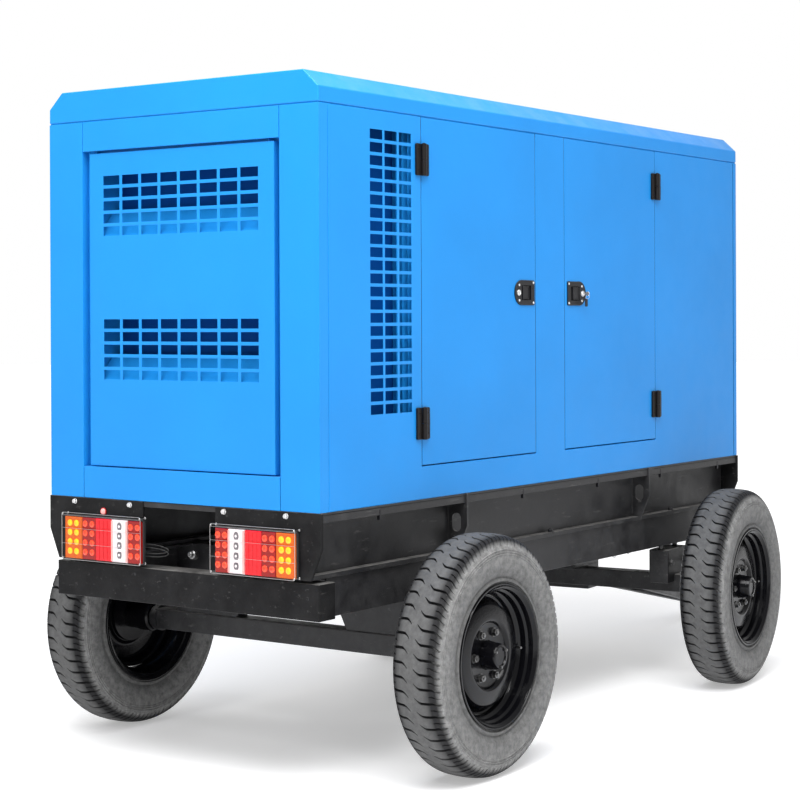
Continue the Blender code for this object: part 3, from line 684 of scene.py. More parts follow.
def make_baffles():
    """Slanted plates behind the rear vents, and duct plates beside the side vents; the walls behind
    the vents are painted dark navy as shade.
    """
    # the walls behind the vents, in dark navy as painted shade
    back = Shape()
    back.slab(REAR_WALL, (-0.410, 0.410), (0.90, 2.045))
    plates = Shape()
    for vent_low, _ in REAR_VENTS:
        foot, head = vent_low - 0.006, vent_low + 0.076
        lower, upper = (0.0105, foot), (0.082, head)
        loop = [lower, upper, (upper[0], upper[1] + 0.002), (lower[0], lower[1] + 0.002)]
        plates.loft([[(x, y, z) for x, z in loop] for y in (-0.348, 0.348)])
    for side in (1, -1):
        ys = span(side, HALF_WIDTH - DUCT_DEPTH, HALF_WIDTH - 0.004)
        plates.slab((DUCT[1] - 0.002, DUCT[1]), ys, DUCT_HEIGHTS)
        for depth in FIN_DEPTHS:
            y = side * (HALF_WIDTH - depth)
            fin = [(0.474, y - 0.001), (0.494, y + side * 0.008)]
            fin += [(0.494, y + side * 0.010), (0.474, y + 0.001)]
            plates.prism(fin, 1.04, 2.02)
        ys = span(side, HALF_WIDTH - DUCT_DEPTH, HALF_WIDTH - DUCT_DEPTH - 0.002)
        back.slab(DUCT, ys, DUCT_HEIGHTS)
    flat_piece("vent_baffles", plates, "baffle", "trailer", 0.0006, slot="canopy_paint")
    # painted shade: dark navy walls seen through the vents
    flat_piece("duct_walls", back, "duct", "trailer", 0.0006, slot="canopy_paint")

    lining = Shape()
    for side in (1, -1):
        ys = span(side, 0.515, HALF_WIDTH - 0.004)
        lining.box((0.050, ys[0], 0.86), (0.235, ys[1], 2.04))
        lining.box((0.53, ys[0] + (0.012 if side < 0 else 0), 0.86), (LENGTH - 0.04, ys[1], 0.945))
    lining.box((0.05, -0.515, 2.02), (LENGTH - 0.04, 0.515, 2.046))
    flat_piece("foam_lining", lining, "foam", "trailer", 0.001)


def make_front():
    columns = slots(-0.40, 0.40, 10, UPRIGHT_BAR)
    vents = grid_of_vents(columns, slots(1.10, 1.885, 20, LEVEL_BAR))
    panel = folded_sheet(
        (-HALF_WIDTH, HALF_WIDTH),
        (CANOPY_BOTTOM, UNDER_SEAM),
        vents,
        [],
        FOLD,
        lambda u, v, depth: (LENGTH - depth, u, v),
    )
    sheet_piece(
        "front_punched_panel", panel, "canopy", "trailer", (1, 0, 0),
        slot="canopy_paint", replaces=["front_panel"],
    )


def make_sides():
    for hand, side in SIDES:
        columns = slots(*SIDE_VENT, 3, LEVEL_BAR)
        vents = grid_of_vents(columns, slots(*SIDE_VENT_HEIGHTS, 22, SIDE_BAR))
        doorways = [(low - DOOR_GAP, high + DOOR_GAP) for low, high in DOORS.values()]
        voids = [(doorway, (SILL_TOP, ROOF_SEAM)) for doorway in doorways]
        shell = folded_sheet(
            (0.0455, LENGTH - 0.030),
            (CANOPY_BOTTOM, UNDER_SEAM),
            vents,
            voids,
            FOLD,
            lambda u, v, depth, side=side: (u, side * (HALF_WIDTH - depth), v),
        )
        sheet_piece(
            f"{hand}_side_sheet", shell, "canopy", "trailer", (0, side, 0),
            slot="canopy_paint", replaces=[f"{hand}_side"],
        )


# --- Doors, hinges and latches ------------------------------------------------------------

DOOR_DEPTH = 0.0245
FOAM_MARGIN, FOAM_PITCH = 0.030, 0.032
FOAM_DEPTHS = (0.004, 0.0165, 0.0235)  # its back, its valleys and its peaks, in from the door's face
SEAL_WIDTH = 0.0018
HINGE_HEIGHTS = (1.088, 1.913)
HINGE_HALF = 0.050
KNUCKLE = 0.009
HINGE_AXIS = HALF_WIDTH + 0.011
LEAF_FACES = (HALF_WIDTH + 0.0003, HALF_WIDTH + 0.0078)
HINGE_SCREW = ((0, -0.002), (0.0052, -0.002), (0.0052, 0.0003), (0.0040, 0.0011))
HINGE_SCREW += ((0.0022, 0.0012), (0.0020, 0.0002), (0, 0.0002))
LATCH_HEIGHT = JOINTS["right_rear_latch_pull"]["pos_m"][2]
LATCHES = {"rear": (1.1365, 1), "front": (1.4875, -1)}  # its middle, and the way to the centre post
POCKET = (0.044, 0.029)  # half the length and height of the door's cut-out behind a latch
LOCK_OFFSET = 0.040
LATCH_FACE = 0.0040
LATCH_SCREW = ((0, -0.001), (0.0042, -0.001), (0.0042, 0.0004), (0.0034, 0.0014))
LATCH_SCREW += ((0.0014, 0.0016), (0.0012, 0.0006), (0, 0.0006))
LATCH_SCREWS_AT = ((-0.036, 0.026), (-0.036, -0.026), (0.055, 0.034), (0.055, -0.034))
LOCK_CYLINDER = ((0, -0.001), (0.0105, -0.001), (0.0105, 0.0016), (0.0092, 0.0030))
LOCK_CYLINDER += ((0.0075, 0.0030), (0.0070, 0.0022), (0, 0.0022))


def door_names(hand, place_name):
    return f"{hand}_{place_name}", f"{hand}_{place_name}_door"


def make_door(hand, side, where):
    name, body = door_names(hand, where)
    low, high = DOORS[where]
    middle = LATCHES[where][0]
    half, rise = POCKET
    pocket = ((middle - half, middle + half), (LATCH_HEIGHT - rise, LATCH_HEIGHT + rise))
    skin = folded_sheet(
        (low + 0.0005, high - 0.0005),
        (DOOR_LOW + 0.0005, DOOR_HIGH - 0.0005),
        [pocket],
        [],
        DOOR_DEPTH,
        lambda u, v, depth: (u, side * (HALF_WIDTH - depth), v),
    )
    sheet_piece(
        f"{name}_door_sheet", skin, "canopy", body, (0, side, 0),
        slot="canopy_paint", replaces=[f"{name}_door"],
    )
    make_foam_pad(f"{name}_door_foam", body, side, low + FOAM_MARGIN, high - FOAM_MARGIN)


def make_foam_pad(name, body, side, start, end):
    """A pad with rows of shallow pyramids, glued inside a door's folded edges."""
    height = DOOR_HIGH - DOOR_LOW - 2 * FOAM_MARGIN
    columns = max(2, round((end - start) / FOAM_PITCH))
    rows = max(2, round(height / FOAM_PITCH))
    low = DOOR_LOW + FOAM_MARGIN
    step = ((end - start) / columns, height / rows)
    pad = Shape()
    back, face, peak = (HALF_WIDTH - depth for depth in FOAM_DEPTHS)
    points, faces, index = [], [], {}

    def point(u, v, depth):
        key = (u, v, depth)
        if key not in index:
            index[key] = len(points)
            points.append((start + u * step[0], side * depth, low + v * step[1]))
        return index[key]

    for i in range(columns):
        for j in range(rows):
            corners = [(i, j), (i + 1, j), (i + 1, j + 1), (i, j + 1)]
            top = point(i + 0.5, j + 0.5, peak)
            for k in range(4):
                a, b = corners[k], corners[(k + 1) % 4]
                faces.append((point(*a, face), point(*b, face), top))
                outside = (k == 0 and j == 0) or (k == 2 and j == rows - 1)
                outside = outside or (k == 3 and i == 0) or (k == 1 and i == columns - 1)
                if outside:
                    faces.append((point(*a, face), point(*b, face), point(*b, back), point(*a, back)))
    rim = [(i, 0) for i in range(columns)] + [(columns, j) for j in range(rows)]
    rim += [(i, rows) for i in range(columns, 0, -1)] + [(0, j) for j in range(rows, 0, -1)]
    faces.append(tuple(point(*corner, back) for corner in rim))
    pad.add(points, faces)
    round_piece(name, pad, "foam", body, smooth=25)


def make_hinge(name, body, station, height, away, side, upper):
    """One half of a block hinge: a leaf with two screws, and a knuckle on the hinge's pin."""
    leaf = Shape()
    near, tip = sorted((station + away * 0.0105, station + away * 0.034))
    outline = rounded((near, height - HINGE_HALF), (tip, height + HINGE_HALF), 0.005)
    turn = Matrix(((1, 0, 0, 0), (0, 0, side, 0), (0, 1, 0, 0), (0, 0, 0, 1)))
    leaf.prism(outline, *LEAF_FACES, turn)
    reach = sorted((station + away * 0.002, station + away * 0.013))
    way = 1 if upper else -1
    half = sorted((height + way * 0.0005, height + way * HINGE_HALF))
    leaf.slab((reach[0], reach[1]), span(side, *LEAF_FACES), (half[0], half[1]))
    flat_piece(f"{name}_leaf", leaf, "hinge", body, 0.0012, 2, slot="hinge_black")

    knuckle = Shape()
    centre = vertical(station, side * HINGE_AXIS)
    knuckle.rod(KNUCKLE, half[0], half[1], centre, 28, 0.0008)
    if upper:
        knuckle.rod(0.0045, half[1] - 0.001, half[1] + 0.0018, centre, 16, 0.0006)
    middle = station + away * 0.0235
    for offset in (-0.032, 0.032):
        at = (middle, side * LEAF_FACES[1], height + offset)
        knuckle.turned(HINGE_SCREW, toward(at, (0, side, 0)), 20)
    return round_piece(f"{name}_knuckle", knuckle, "hinge", body, slot="hinge_black")


def make_hinges(hand, side, where):
    name, body = door_names(hand, where)
    low, high = DOORS[where]
    hinged, away = (low - DOOR_GAP, 1) if where == "rear" else (high + DOOR_GAP, -1)
    for height, level in zip(HINGE_HEIGHTS, ("lower", "upper")):
        hinge = f"{name}_{level}_hinge"
        fixed = make_hinge(f"{hinge}_fixed", "trailer", hinged, height, -away, side, False)
        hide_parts(hinge)
        make_hinge(f"{hinge}_moving", body, hinged, height, away, side, True)


def latch_outline(post, grow=0.0):
    """A D about the latch's middle: its straight side faces the centre post."""
    radius = 0.0425 + grow
    edge, middle = post * (0.0635 + grow), -post * 0.021
    steps = 14
    outline = []
    for i in range(steps + 1):
        angle = math.pi * (0.5 + i / steps)
        outline.append((middle + post * radius * math.cos(angle), radius * math.sin(angle)))
    corner = 0.006
    for turn in (0, 1):
        for i in range(4):
            angle = math.radians(-90 + 90 * turn + 30 * i)
            x = edge - post * corner + post * corner * math.cos(angle)
            z = (radius - corner) * (-1, 1)[turn] + corner * math.sin(angle)
            outline.append((x, z))
    return outline


def make_latch(hand, side, where):
    """A recessed paddle latch: housing with a raised rim, tray, paddle, lock and screws."""
    name, body = door_names(hand, where)
    station, post = LATCHES[where]
    face = Matrix(
        ((1, 0, 0, station), (0, 0, side, side * HALF_WIDTH), (0, 1, 0, LATCH_HEIGHT), (0, 0, 0, 1))
    )
    low, high = sorted((-post * 0.020, post * 0.041))
    corners = [(low, -0.025), (high, -0.025), (high, 0.025), (low, 0.025)]
    outer = latch_outline(post)
    mouth = outline_rays(corners, Vector(((low + high) / 2, 0)), [Vector(p) for p in outer])
    steps = (
        (outer, 0.0003),
        (outer, 0.0032),
        (latch_outline(post, -0.0010), 0.0042),
        (latch_outline(post, -0.0026), 0.0042),
        (latch_outline(post, -0.0034), 0.0034),
        (mouth, 0.0034),
        (mouth, -0.0165),
    )
    housing = Shape()
    housing.loft([[(x, z, height) for x, z in loop] for loop, height in steps], face, ends=False)
    floor = (len(steps) - 1) * len(outer)
    housing.faces.append(tuple(range(floor, floor + len(outer))))
    made = round_piece(
        f"{name}_latch_body", housing, "latch", body, 30, slot="latch_plastic",
        replaces=[f"{name}_latch_housing"],
    )
    skin = made.modifiers.new("wall", "SOLIDIFY")
    skin.thickness = 0.0008
    skin.offset = -1

    bright = Shape()
    for x, z in LATCH_SCREWS_AT:
        bright.turned(LATCH_SCREW, face @ Matrix.Translation((post * x, z, LATCH_FACE)), 18)
    lock = face @ Matrix.Translation((-post * LOCK_OFFSET, 0, LATCH_FACE))
    bright.turned(LOCK_CYLINDER, lock, 28)
    bright.box((-0.0008, -0.004, 0.0020), (0.0008, 0.004, 0.0026), lock)
    round_piece(f"{name}_latch_lock", bright, "chrome", body)

    paddle = Shape()
    low, high = sorted((-post * 0.0135, post * 0.0258))
    plate = rounded((low, -0.0218), (high, 0.0218), 0.003)
    lip = rounded((low + 0.003, -0.0188), (high - 0.003, 0.0188), 0.002)
    paddle.loft(
        [
            [(x, z, -0.0013) for x, z in plate],
            [(x, z, 0.0033) for x, z in plate],
            [(x * 0.985, z * 0.975, 0.0043) for x, z in plate],
            [(x, z, 0.0043) for x, z in lip],
            [(x, z, 0.0029) for x, z in lip],
        ],
        face,
    )
    spindle = face @ Matrix.Translation((-post * 0.010, 0, 0)) @ Matrix.Rotation(math.pi / 2, 4, "X")
    paddle.rod(0.0034, -0.0245, 0.0245, spindle, 16, 0.0005)
    round_piece(
        f"{name}_latch_handle", paddle, "latch", f"{name}_latch", slot="latch_plastic",
        replaces=[f"{name}_latch_paddle"],
    )
    if (hand, where) == ("right", "front"):
        make_key(body, face, post)


def make_key(body, face, post):
    """The key left in the lock, with its ring and a small dark tag."""
    lock = face @ Matrix.Translation((-post * LOCK_OFFSET, 0, 0.006))
    key = Shape()
    key.box((-0.0007, -0.0030, 0), (0.0007, 0.0030, 0.012), lock)
    key.rod(0.0075, -0.0008, 0.0008, lock @ toward((0, 0, 0.018), (1, 0, 0)), 24, 0.0003)
    ring = [
        (0.0, 0.007 * math.cos(a) - 0.012, 0.018 + 0.007 * math.sin(a))
        for a in (math.tau * i / 20 for i in range(21))
    ]
    key.tube(ring, 0.0007, lock, 6)
    round_piece("key", key, "chrome", body)
    tag = Shape()
    tag.prism(rounded((-0.0085, -0.046), (0.0085, -0.018), 0.003), 0.012, 0.0145, lock)
    flat_piece("key_tag", tag, "latch", body, 0.0005)


def make_doors():
    seals = Shape()
    for hand, side in SIDES:
        ys = span(side, HALF_WIDTH - 0.0010, HALF_WIDTH - 0.012)
        for where, (low, high) in DOORS.items():
            make_door(hand, side, where)
            make_hinges(hand, side, where)
            make_latch(hand, side, where)
            for start in (low - 0.0014, high - 0.0004):
                seals.box((start, ys[0], DOOR_LOW), (start + SEAL_WIDTH, ys[1], DOOR_HIGH))
    flat_piece("door_seals", seals, "rubber", "trailer", 0.0002)


# --- Skid and chassis ---------------------------------------------------------------------

GUSSETS = (0.770, 2.022)
DECK = CANOPY_BOTTOM - 0.0003
PLATE = 0.010  # thickness of the skid's end plates and gussets
OVAL_RADIUS, OVAL_RISE = 0.017, 0.013  # the gusset's oval hole, half the way between its ends


def plate_outline(side):
    """The skid's end plates and gussets, which taper in towards their lower edge."""
    return [
        (side * 0.470, SKID_BOTTOM),
        (side * 0.515, SKID_BOTTOM),
        (side * 0.555, 0.745),
        (side * 0.555, DECK),
        (side * 0.470, DECK),
    ]


def gusset(shape, side, station):
    """A tapered plate with an oval hole, as a ring of faces between two outlines."""
    centre = Vector((side * 0.514, 0.755))
    steps = 24
    hole = []
    for i in range(steps):
        y, z = on_circle(OVAL_RADIUS, (i + 0.5) / steps)
        hole.append(centre + Vector((y, z + math.copysign(OVAL_RISE, z))))
    edge = outline_rays(plate_outline(side), centre, hole)
    far = station + PLATE
    rings = ((edge, station), (edge, far), (hole, far), (hole, station))
    shape.loft([[(x, y, z) for y, z in ring] for ring, x in rings], closed=True)


def outline_rays(outline, centre, targets):
    """Where the rays from the centre through each target leave the outline, with its corners kept."""
    corners = [Vector(c) for c in outline]
    found = []
    for target in targets:
        ray = (target - centre).normalized()
        best = None
        for a, b in zip(corners, corners[1:] + corners[:1]):
            side = b - a
            cross = ray.x * side.y - ray.y * side.x
            if abs(cross) < 1e-9:
                continue
            offset = a - centre
            t = (offset.x * side.y - offset.y * side.x) / cross
            s = (offset.x * ray.y - offset.y * ray.x) / cross
            if t > 0 and -1e-6 <= s <= 1 + 1e-6 and (best is None or t < best):
                best = t
        found.append(centre + ray * best)
    for corner in corners:
        nearest = min(range(len(found)), key=lambda i: (found[i] - corner).length)
        found[nearest] = corner
    return found


def make_skid():
    skid, ends = Shape(), Shape()
    skid.box((0.004, -0.53, DECK - 0.018), (LENGTH - 0.004, 0.53, DECK - 0.001))
    for side in (1, -1):
        for inner, outer, low, high in (
            (0.470, 0.482, SKID_BOTTOM + 0.004, DECK - 0.004),
            (0.474, 0.549, DECK - 0.0095, DECK),
            (0.537, 0.549, DECK - 0.030, DECK - 0.005),
            (0.430, 0.512, SKID_BOTTOM, SKID_BOTTOM + 0.014),
        ):
            skid.slab((0.006, LENGTH - 0.006), span(side, inner, outer), (low, high))
        for station in (0.0, LENGTH - PLATE):
            ends.section(plate_outline(side), station, station + PLATE)
            ys = span(side, 0.148, 0.472)
            ends.box((station, ys[0], SKID_BOTTOM), (station + 0.0095, ys[1], DECK - 0.001))
        for station in GUSSETS:
            gusset(skid, side, station)
    flat_piece(
        "skid_frame", skid, "chassis", "trailer", 0.0014, slot="chassis_paint", replaces=["skid_base"]
    )

    # the end plates take the darker copy of the chassis enamel: painted shade
    flat_piece("skid_end_plates", ends, "rear_end", "trailer", 0.0014, slot="chassis_paint")

    welds = Shape()
    for side in (1, -1):
        for station in (*GUSSETS, *(s + PLATE for s in GUSSETS)):
            path = [(station, side * 0.4825, SKID_BOTTOM + 0.02 + i * 0.012) for i in range(13)]
            welds.tube(path, 0.003, sides=8)
    round_piece("skid_welds", welds, "chassis", "trailer", slot="chassis_paint")

    bolts, clips = Shape(), Shape()
    for side in (1, -1):
        for station in (0.30, 1.13, 1.646, 2.132, 2.62):
            bolts.bolt(0.013, toward((station, side * 0.516, DECK - 0.0095), DOWNWARD))
            ys = span(side, 0.540, 0.550)
            clips.box((station - 0.004, ys[0], DECK - 0.044), (station + 0.004, ys[1], DECK - 0.012))
        for station in (1.385, 2.298):
            clips.bolt(0.016, toward((station, side * 0.503, SKID_BOTTOM + 0.014), UPWARD))
    round_piece("skid_bolts", bolts, "zinc", "trailer")
    flat_piece("skid_clips", clips, "latch", "trailer", 0.0006)


def channel(shape, start, end, side, low, high, web=0.007, flange=0.008, width=0.08):
    """A rolled channel along X whose flanges look inwards."""
    outer = side * 0.50
    y0, y1 = sorted((outer, outer - side * web))
    shape.box((start, y0, low), (end, y1, high))
    y0, y1 = sorted((outer - side * 0.0005, outer - side * width))
    shape.box((start, y0, low), (end, y1, low + flange))
    shape.box((start, y0, high - flange), (end, y1, high))


def make_chassis():
    frame = Shape()
    top = SKID_BOTTOM - 0.0006
    for side in (1, -1):
        channel(frame, 0.094, LENGTH - 0.03, side, CHASSIS_BOTTOM, top)
    bumper = Shape()
    bumper.box((0.014, -0.534, CHASSIS_BOTTOM), (0.094, 0.534, SKID_BOTTOM - 0.0102))
    # the bumper takes the darker copy of the chassis enamel: painted shade
    flat_piece("bumper_beam", bumper, "rear_end", "trailer", 0.003, 3, slot="chassis_paint")
    for station in (0.54, 1.35, 2.08, 2.48, LENGTH - 0.11):
        frame.box((station, -0.494, CHASSIS_BOTTOM + 0.001), (station + 0.0785, 0.494, top - 0.001))
    flat_piece(
        "chassis_rails", frame, "chassis", "trailer", 0.0025, 3,
        slot="chassis_paint", replaces=["chassis_frame"],
    )


def make_tank():
    tank = Shape()
    tank.box((0.90, -0.455, 0.675), (1.94, 0.455, 0.825))
    flat_piece("tank_shell", tank, "chassis", "trailer", 0.012, 4, slot="chassis_paint")
    neck = Shape()
    neck.rod(0.035, 0.660, 0.690, Matrix.Translation((1.02, -0.30, 0)), 32, 0.002)
    made = round_piece("tank_neck", neck, "steel", "trailer")
    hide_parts("fuel_tank")


# --- Axles --------------------------------------------------------------------------------

AXLE_LOW, AXLE_HIGH = 0.34, 0.41
AXLE_HALF = 0.60  # from the middle plane to where the spindles start
BEARER_TOP = 0.510
SPINDLE = ((0, -0.01), (0.046, -0.01), (0.046, 0.012), (0.034, 0.030), (0.025, 0.034))
SPINDLE += ((0.025, 0.163), (0, 0.163))


def axle(station):
    beam, ends = Shape(), Shape()
    beam.box((station - 0.035, -AXLE_HALF, AXLE_LOW), (station + 0.035, AXLE_HALF, AXLE_HIGH))
    for side in (1, -1):
        ends.turned(SPINDLE, toward((station, side * AXLE_HALF, WHEEL_RADIUS), (0, side, 0)), 32)
    return beam, ends


def make_rear_axle():
    beam, ends = axle(REAR_AXLE)
    for side in (1, -1):
        outline = [
            (side * 0.24, AXLE_HIGH - 0.02),
            (side * 0.50, AXLE_HIGH - 0.02),
            (side * 0.50, CHASSIS_BOTTOM - 0.0005),
            (side * 0.17, CHASSIS_BOTTOM - 0.0005),
        ]
        beam.section(outline, REAR_AXLE - 0.03, REAR_AXLE + 0.03)
    flat_piece(
        "rear_axle_beam", beam, "chassis", "trailer", 0.005, 3, slot="chassis_paint",
        replaces=["rear_axle"],
    )
    round_piece("rear_axle_spindles", ends, "chassis", "trailer", slot="chassis_paint")


def make_front_axle():
    beam, ends = axle(TURNTABLE)
    for side in (1, -1):
        ys = span(side, 0.42, 0.50)
        beam.box((TURNTABLE - 0.10, ys[0], AXLE_HIGH - 0.03), (TURNTABLE + 0.10, ys[1], BEARER_TOP))
    flat_piece(
        "front_axle_beam", beam, "chassis", "steering", 0.005, 3, where=STEERED,
        slot="chassis_paint", replaces=["front_axle"],
    )
    round_piece(
        "front_axle_spindles", ends, "chassis", "steering", where=STEERED, slot="chassis_paint"
    )
    bolts = Shape()
    for side in (1, -1):
        for x in (-0.07, 0.07):
            bolts.bolt(0.018, toward((TURNTABLE + x, side * 0.46, BEARER_TOP), UPWARD), stud=False)
            bolts.bolt(0.018, toward((TURNTABLE + x, side * 0.50, 0.46), (0, side, 0)))
    round_piece("front_axle_bolts", bolts, "nut", "steering", where=STEERED)


# --- Wheels -------------------------------------------------------------------------------

PITCHES = 54
GROOVE = 0.0105
GROOVE_START = 0.011
CROWN = (
    # distance from the middle plane, radius, share of the groove's depth, share of the notch's
    (0.0000, 0.3750, 0.0, 0.0),
    (0.0060, 0.3750, 0.0, 0.0),
    (0.0105, 0.3749, 0.0, 0.0),
    (0.0125, 0.3749, 0.8, 0.0),
    (0.0170, 0.3747, 1.0, 0.0),
    (0.0220, 0.3744, 1.0, 0.0),
    (0.0270, 0.3741, 1.0, 0.0),
    (0.0320, 0.3737, 1.0, 0.0),
    (0.0380, 0.3731, 1.0, 0.0),
    (0.0460, 0.3718, 1.0, 0.0),
    (0.0530, 0.3699, 1.0, 0.0),
    (0.0570, 0.3684, 1.0, 0.0),
    (0.0585, 0.3677, 1.0, 0.8),
    (0.0650, 0.3641, 1.0, 1.0),
    (0.0700, 0.3603, 1.0, 1.0),
    (0.0745, 0.3552, 1.0, 1.0),
    (0.0780, 0.3497, 0.9, 0.8),
    (0.0805, 0.3440, 0.7, 0.5),
    (0.0822, 0.3385, 0.0, 0.0),
)
SHOULDER = CROWN[-1][0]
SIDEWALL_RINGS = (0.3290, 0.3215, 0.3140)
SIDEWALL_HALF, SIDEWALL_WIDEST = 0.0872, 0.297  # half the tyre's width, and the radius where that is
NUT_CIRCLE, CAP_SCREW_CIRCLE = 0.076, 0.033
DISC_FACE, CAP_FACE = 0.0300, 0.0808


def sidewall():
    """The sidewall's outline from the shoulder to the bead, with raised rings."""
    def bulge(radius):
        arch = SIDEWALL_HALF - 2.6 * (radius - SIDEWALL_WIDEST) ** 2
        return arch - max(0.0, 0.262 - radius) * 0.32

    points = []
    for ring in SIDEWALL_RINGS:
        points += [
            (bulge(ring + 0.0022), ring + 0.0022),
            (bulge(ring) + 0.0019, ring + 0.0011),
            (bulge(ring) + 0.0019, ring - 0.0011),
            (bulge(ring - 0.0022), ring - 0.0022),
        ]
    points += [(bulge(r), r) for r in (0.304, 0.296, 0.285, 0.272, 0.262, 0.252, 0.243)]
    points += [(0.0790, 0.2385), (0.0800, 0.2360), (0.0795, 0.2310)]
    points += [(0.0720, 0.2300), (0.0700, 0.2080)]
    return [(d, r, 0.0, 0.0) for d, r in points]


def tread_lead(distance):
    """How far a groove has turned ahead at a distance from the middle plane, in pitches."""
    reach = min(abs(distance), SHOULDER)
    hook = min(1.0, max(0.0, (reach - GROOVE_START) / 0.023))
    lead = 0.36 * math.sin(hook * math.pi / 2) + 0.9 * max(0.0, reach - 0.034)
    lead += 18 * max(0.0, reach - 0.066)
    return math.copysign(lead, distance)


def tyre_mesh():
    """The tyre about Y: hooked grooves either side of a running rib, and notched shoulders."""
    half = [*CROWN, *sidewall()]
    rows = [(-d, *rest) for d, *rest in reversed(half)] + half[1:]
    columns = [(0.0, None, None)]
    for centre, top, bottom, kind in ((0.25, 0.105, 0.060, "groove"), (0.75, 0.060, 0.025, "notch")):
        columns += [(centre + edge, kind, centre) for edge in (-top, -bottom, bottom, top)]
        columns.append((centre + 0.25, None, None))
    columns.pop()
    bottoms = {"groove": 0.060, "notch": 0.025}
    loops = []
    for pitch in range(PITCHES):
        for across, kind, centre in columns:
            loop = []
            for distance, radius, groove_share, notch_share in rows:
                turn, depth = across, 0.0
                if kind and abs(across - centre) <= bottoms[kind] + 1e-6:
                    depth = GROOVE * groove_share if kind == "groove" else 0.6 * GROOVE * notch_share
                if kind == "groove":
                    widening = max(0.0, abs(distance) - GROOVE_START) / 0.020
                    turn = centre + (across - centre) * min(1.0, 0.45 + 0.55 * widening)
                angle = math.tau * (pitch + turn + tread_lead(distance)) / PITCHES
                sideways = min(1.0, max(0.0, (abs(distance) - 0.062) / 0.020))
                r = radius - depth * (1 - 0.45 * sideways)
                d = distance - math.copysign(depth * 0.85 * sideways, distance)
                loop.append((r * math.sin(angle), d, r * math.cos(angle)))
            loops.append(loop)
    shape = Shape()
    shape.loft(loops, closed=True, around=False)
    mesh = mesh_of("tyre", shape, "tyre", 40)
    radii = mesh.attributes.new("from_axle", "FLOAT", "POINT")
    radii.data.foreach_set("value", [math.hypot(v.co.x, v.co.z) for v in mesh.vertices])
    return mesh


def wheel_rim_shape():
    """The rim about Z, outboard up: flanges, bead seats and a stepped well."""
    rim = Shape()
    rim.turned(
        [
            (0.2245, 0.0785), (0.2225, 0.0805), (0.2185, 0.0800), (0.2150, 0.0740), (0.2080, 0.0700),
            (0.2060, 0.0540), (0.1990, 0.0480), (0.1965, 0.0300), (0.1880, 0.0240), (0.1855, 0.0200),
            (0.1850, -0.0200), (0.1940, -0.0300), (0.2035, -0.0700),
            (0.2150, -0.0740), (0.2225, -0.0805), (0.2245, -0.0785), (0.2235, -0.0730),
            (0.2090, -0.0680), (0.2000, -0.0280), (0.1900, -0.0170), (0.1900, 0.0170),
            (0.1920, 0.0210), (0.2015, 0.0280), (0.2040, 0.0450), (0.2110, 0.0510), (0.2130, 0.0670),
            (0.2235, 0.0730),
        ],
        sides=96,
    )
    return rim


def wheel_disc_shape():
    """The pressed disc: a flat web with a rounded shoulder, stepped down round the nuts."""
    upper = [
        (0.0460, 0.0300), (0.0960, 0.0300), (0.0995, 0.0310), (0.1035, 0.0385), (0.1075, 0.0420),
        (0.1120, 0.0430), (0.1180, 0.0420), (0.1500, 0.0405), (0.1560, 0.0385), (0.1605, 0.0345),
        (0.1640, 0.0270), (0.1670, 0.0150), (0.1720, 0.0070), (0.1790, 0.0040), (0.1848, 0.0060),
        (0.1848, 0.0120),
    ]
    outer = [(0.0460, 0.0300)] + upper[1:-1]
    lower = [(radius - 0.0014, height - 0.0052) for radius, height in outer]
    disc = Shape()
    disc.turned(outer + lower[::-1], sides=96)
    return disc


def hub_shape():
    """The hub behind the disc, and the cap that stands out through it."""
    hub = Shape()
    hub.turned(
        [
            (0.0260, -0.100), (0.0460, -0.100), (0.0520, -0.094), (0.0520, -0.040), (0.0480, -0.034),
            (0.0480, 0.010), (0.0940, 0.012), (0.0955, 0.015), (0.0950, 0.024), (0.0440, 0.0242),
            (0.0440, 0.046), (0.0425, 0.049), (0.0405, 0.072), (0.0370, 0.0805), (0.0300, 0.0815),
            (0.0280, 0.0775), (0, 0.0770), (0, 0.050), (0.0260, 0.050),
        ],
        sides=48,
    )
    return hub


def nuts_shape():
    nuts = Shape()
    for i in range(6):
        nuts.bolt(0.021, vertical(*on_circle(NUT_CIRCLE, i / 6), DISC_FACE))
    for i in range(3):
        at = on_circle(CAP_SCREW_CIRCLE, (i + 0.25) / 3)
        nuts.bolt(0.0075, vertical(*at, CAP_FACE), stud=False)
    nuts.rod(0.0042, 0, 0.034, toward((0.176, 0.0, 0.018), (-0.25, 0, 1)), 14, 0.001)
    return nuts


def make_wheels():
    outboard = toward((0, 0, 0), (0, 1, 0))
    pieces = (
        # name, mesh, how it is turned, slot, the CAD piece that it stands for
        ("tyre_skin", tyre_mesh(), HERE, "tyre_rubber", "tyre"),
        ("rim_skin", mesh_of("rim", wheel_rim_shape(), "wheel", 30), outboard, "wheel_paint", "rim"),
        ("disc", mesh_of("disc", wheel_disc_shape(), "wheel", 30), outboard, "wheel_paint", None),
        ("hub_cap", mesh_of("hub", hub_shape(), "wheel", 30), outboard, "wheel_paint", "hub"),
        ("nuts", mesh_of("nuts", nuts_shape(), "nut", 30), outboard, None, None),
    )
    for end in ("rear", "front"):
        for hand, side in SIDES:
            corner = f"{end}_{hand}"
            centre = Matrix.Translation(JOINTS[f"{corner}_wheel_spin"]["pos_m"])
            half_turn = Matrix.Rotation(0.0 if side > 0 else math.pi, 4, "Z")
            for name, mesh, turn, slot, stands_for in pieces:
                where = half_turn @ turn
                if end == "front":
                    mesh = mesh.copy()
                    mesh.transform(Matrix.Rotation(STEER, 4, "Z") @ where)
                    where = HERE
                replaced = [f"{corner}_{stands_for}"] if stands_for else ()
                place(f"{corner}_{name}", mesh, f"{corner}_wheel", centre @ where, slot, replaced)


# --- Rear lights --------------------------------------------------------------------------

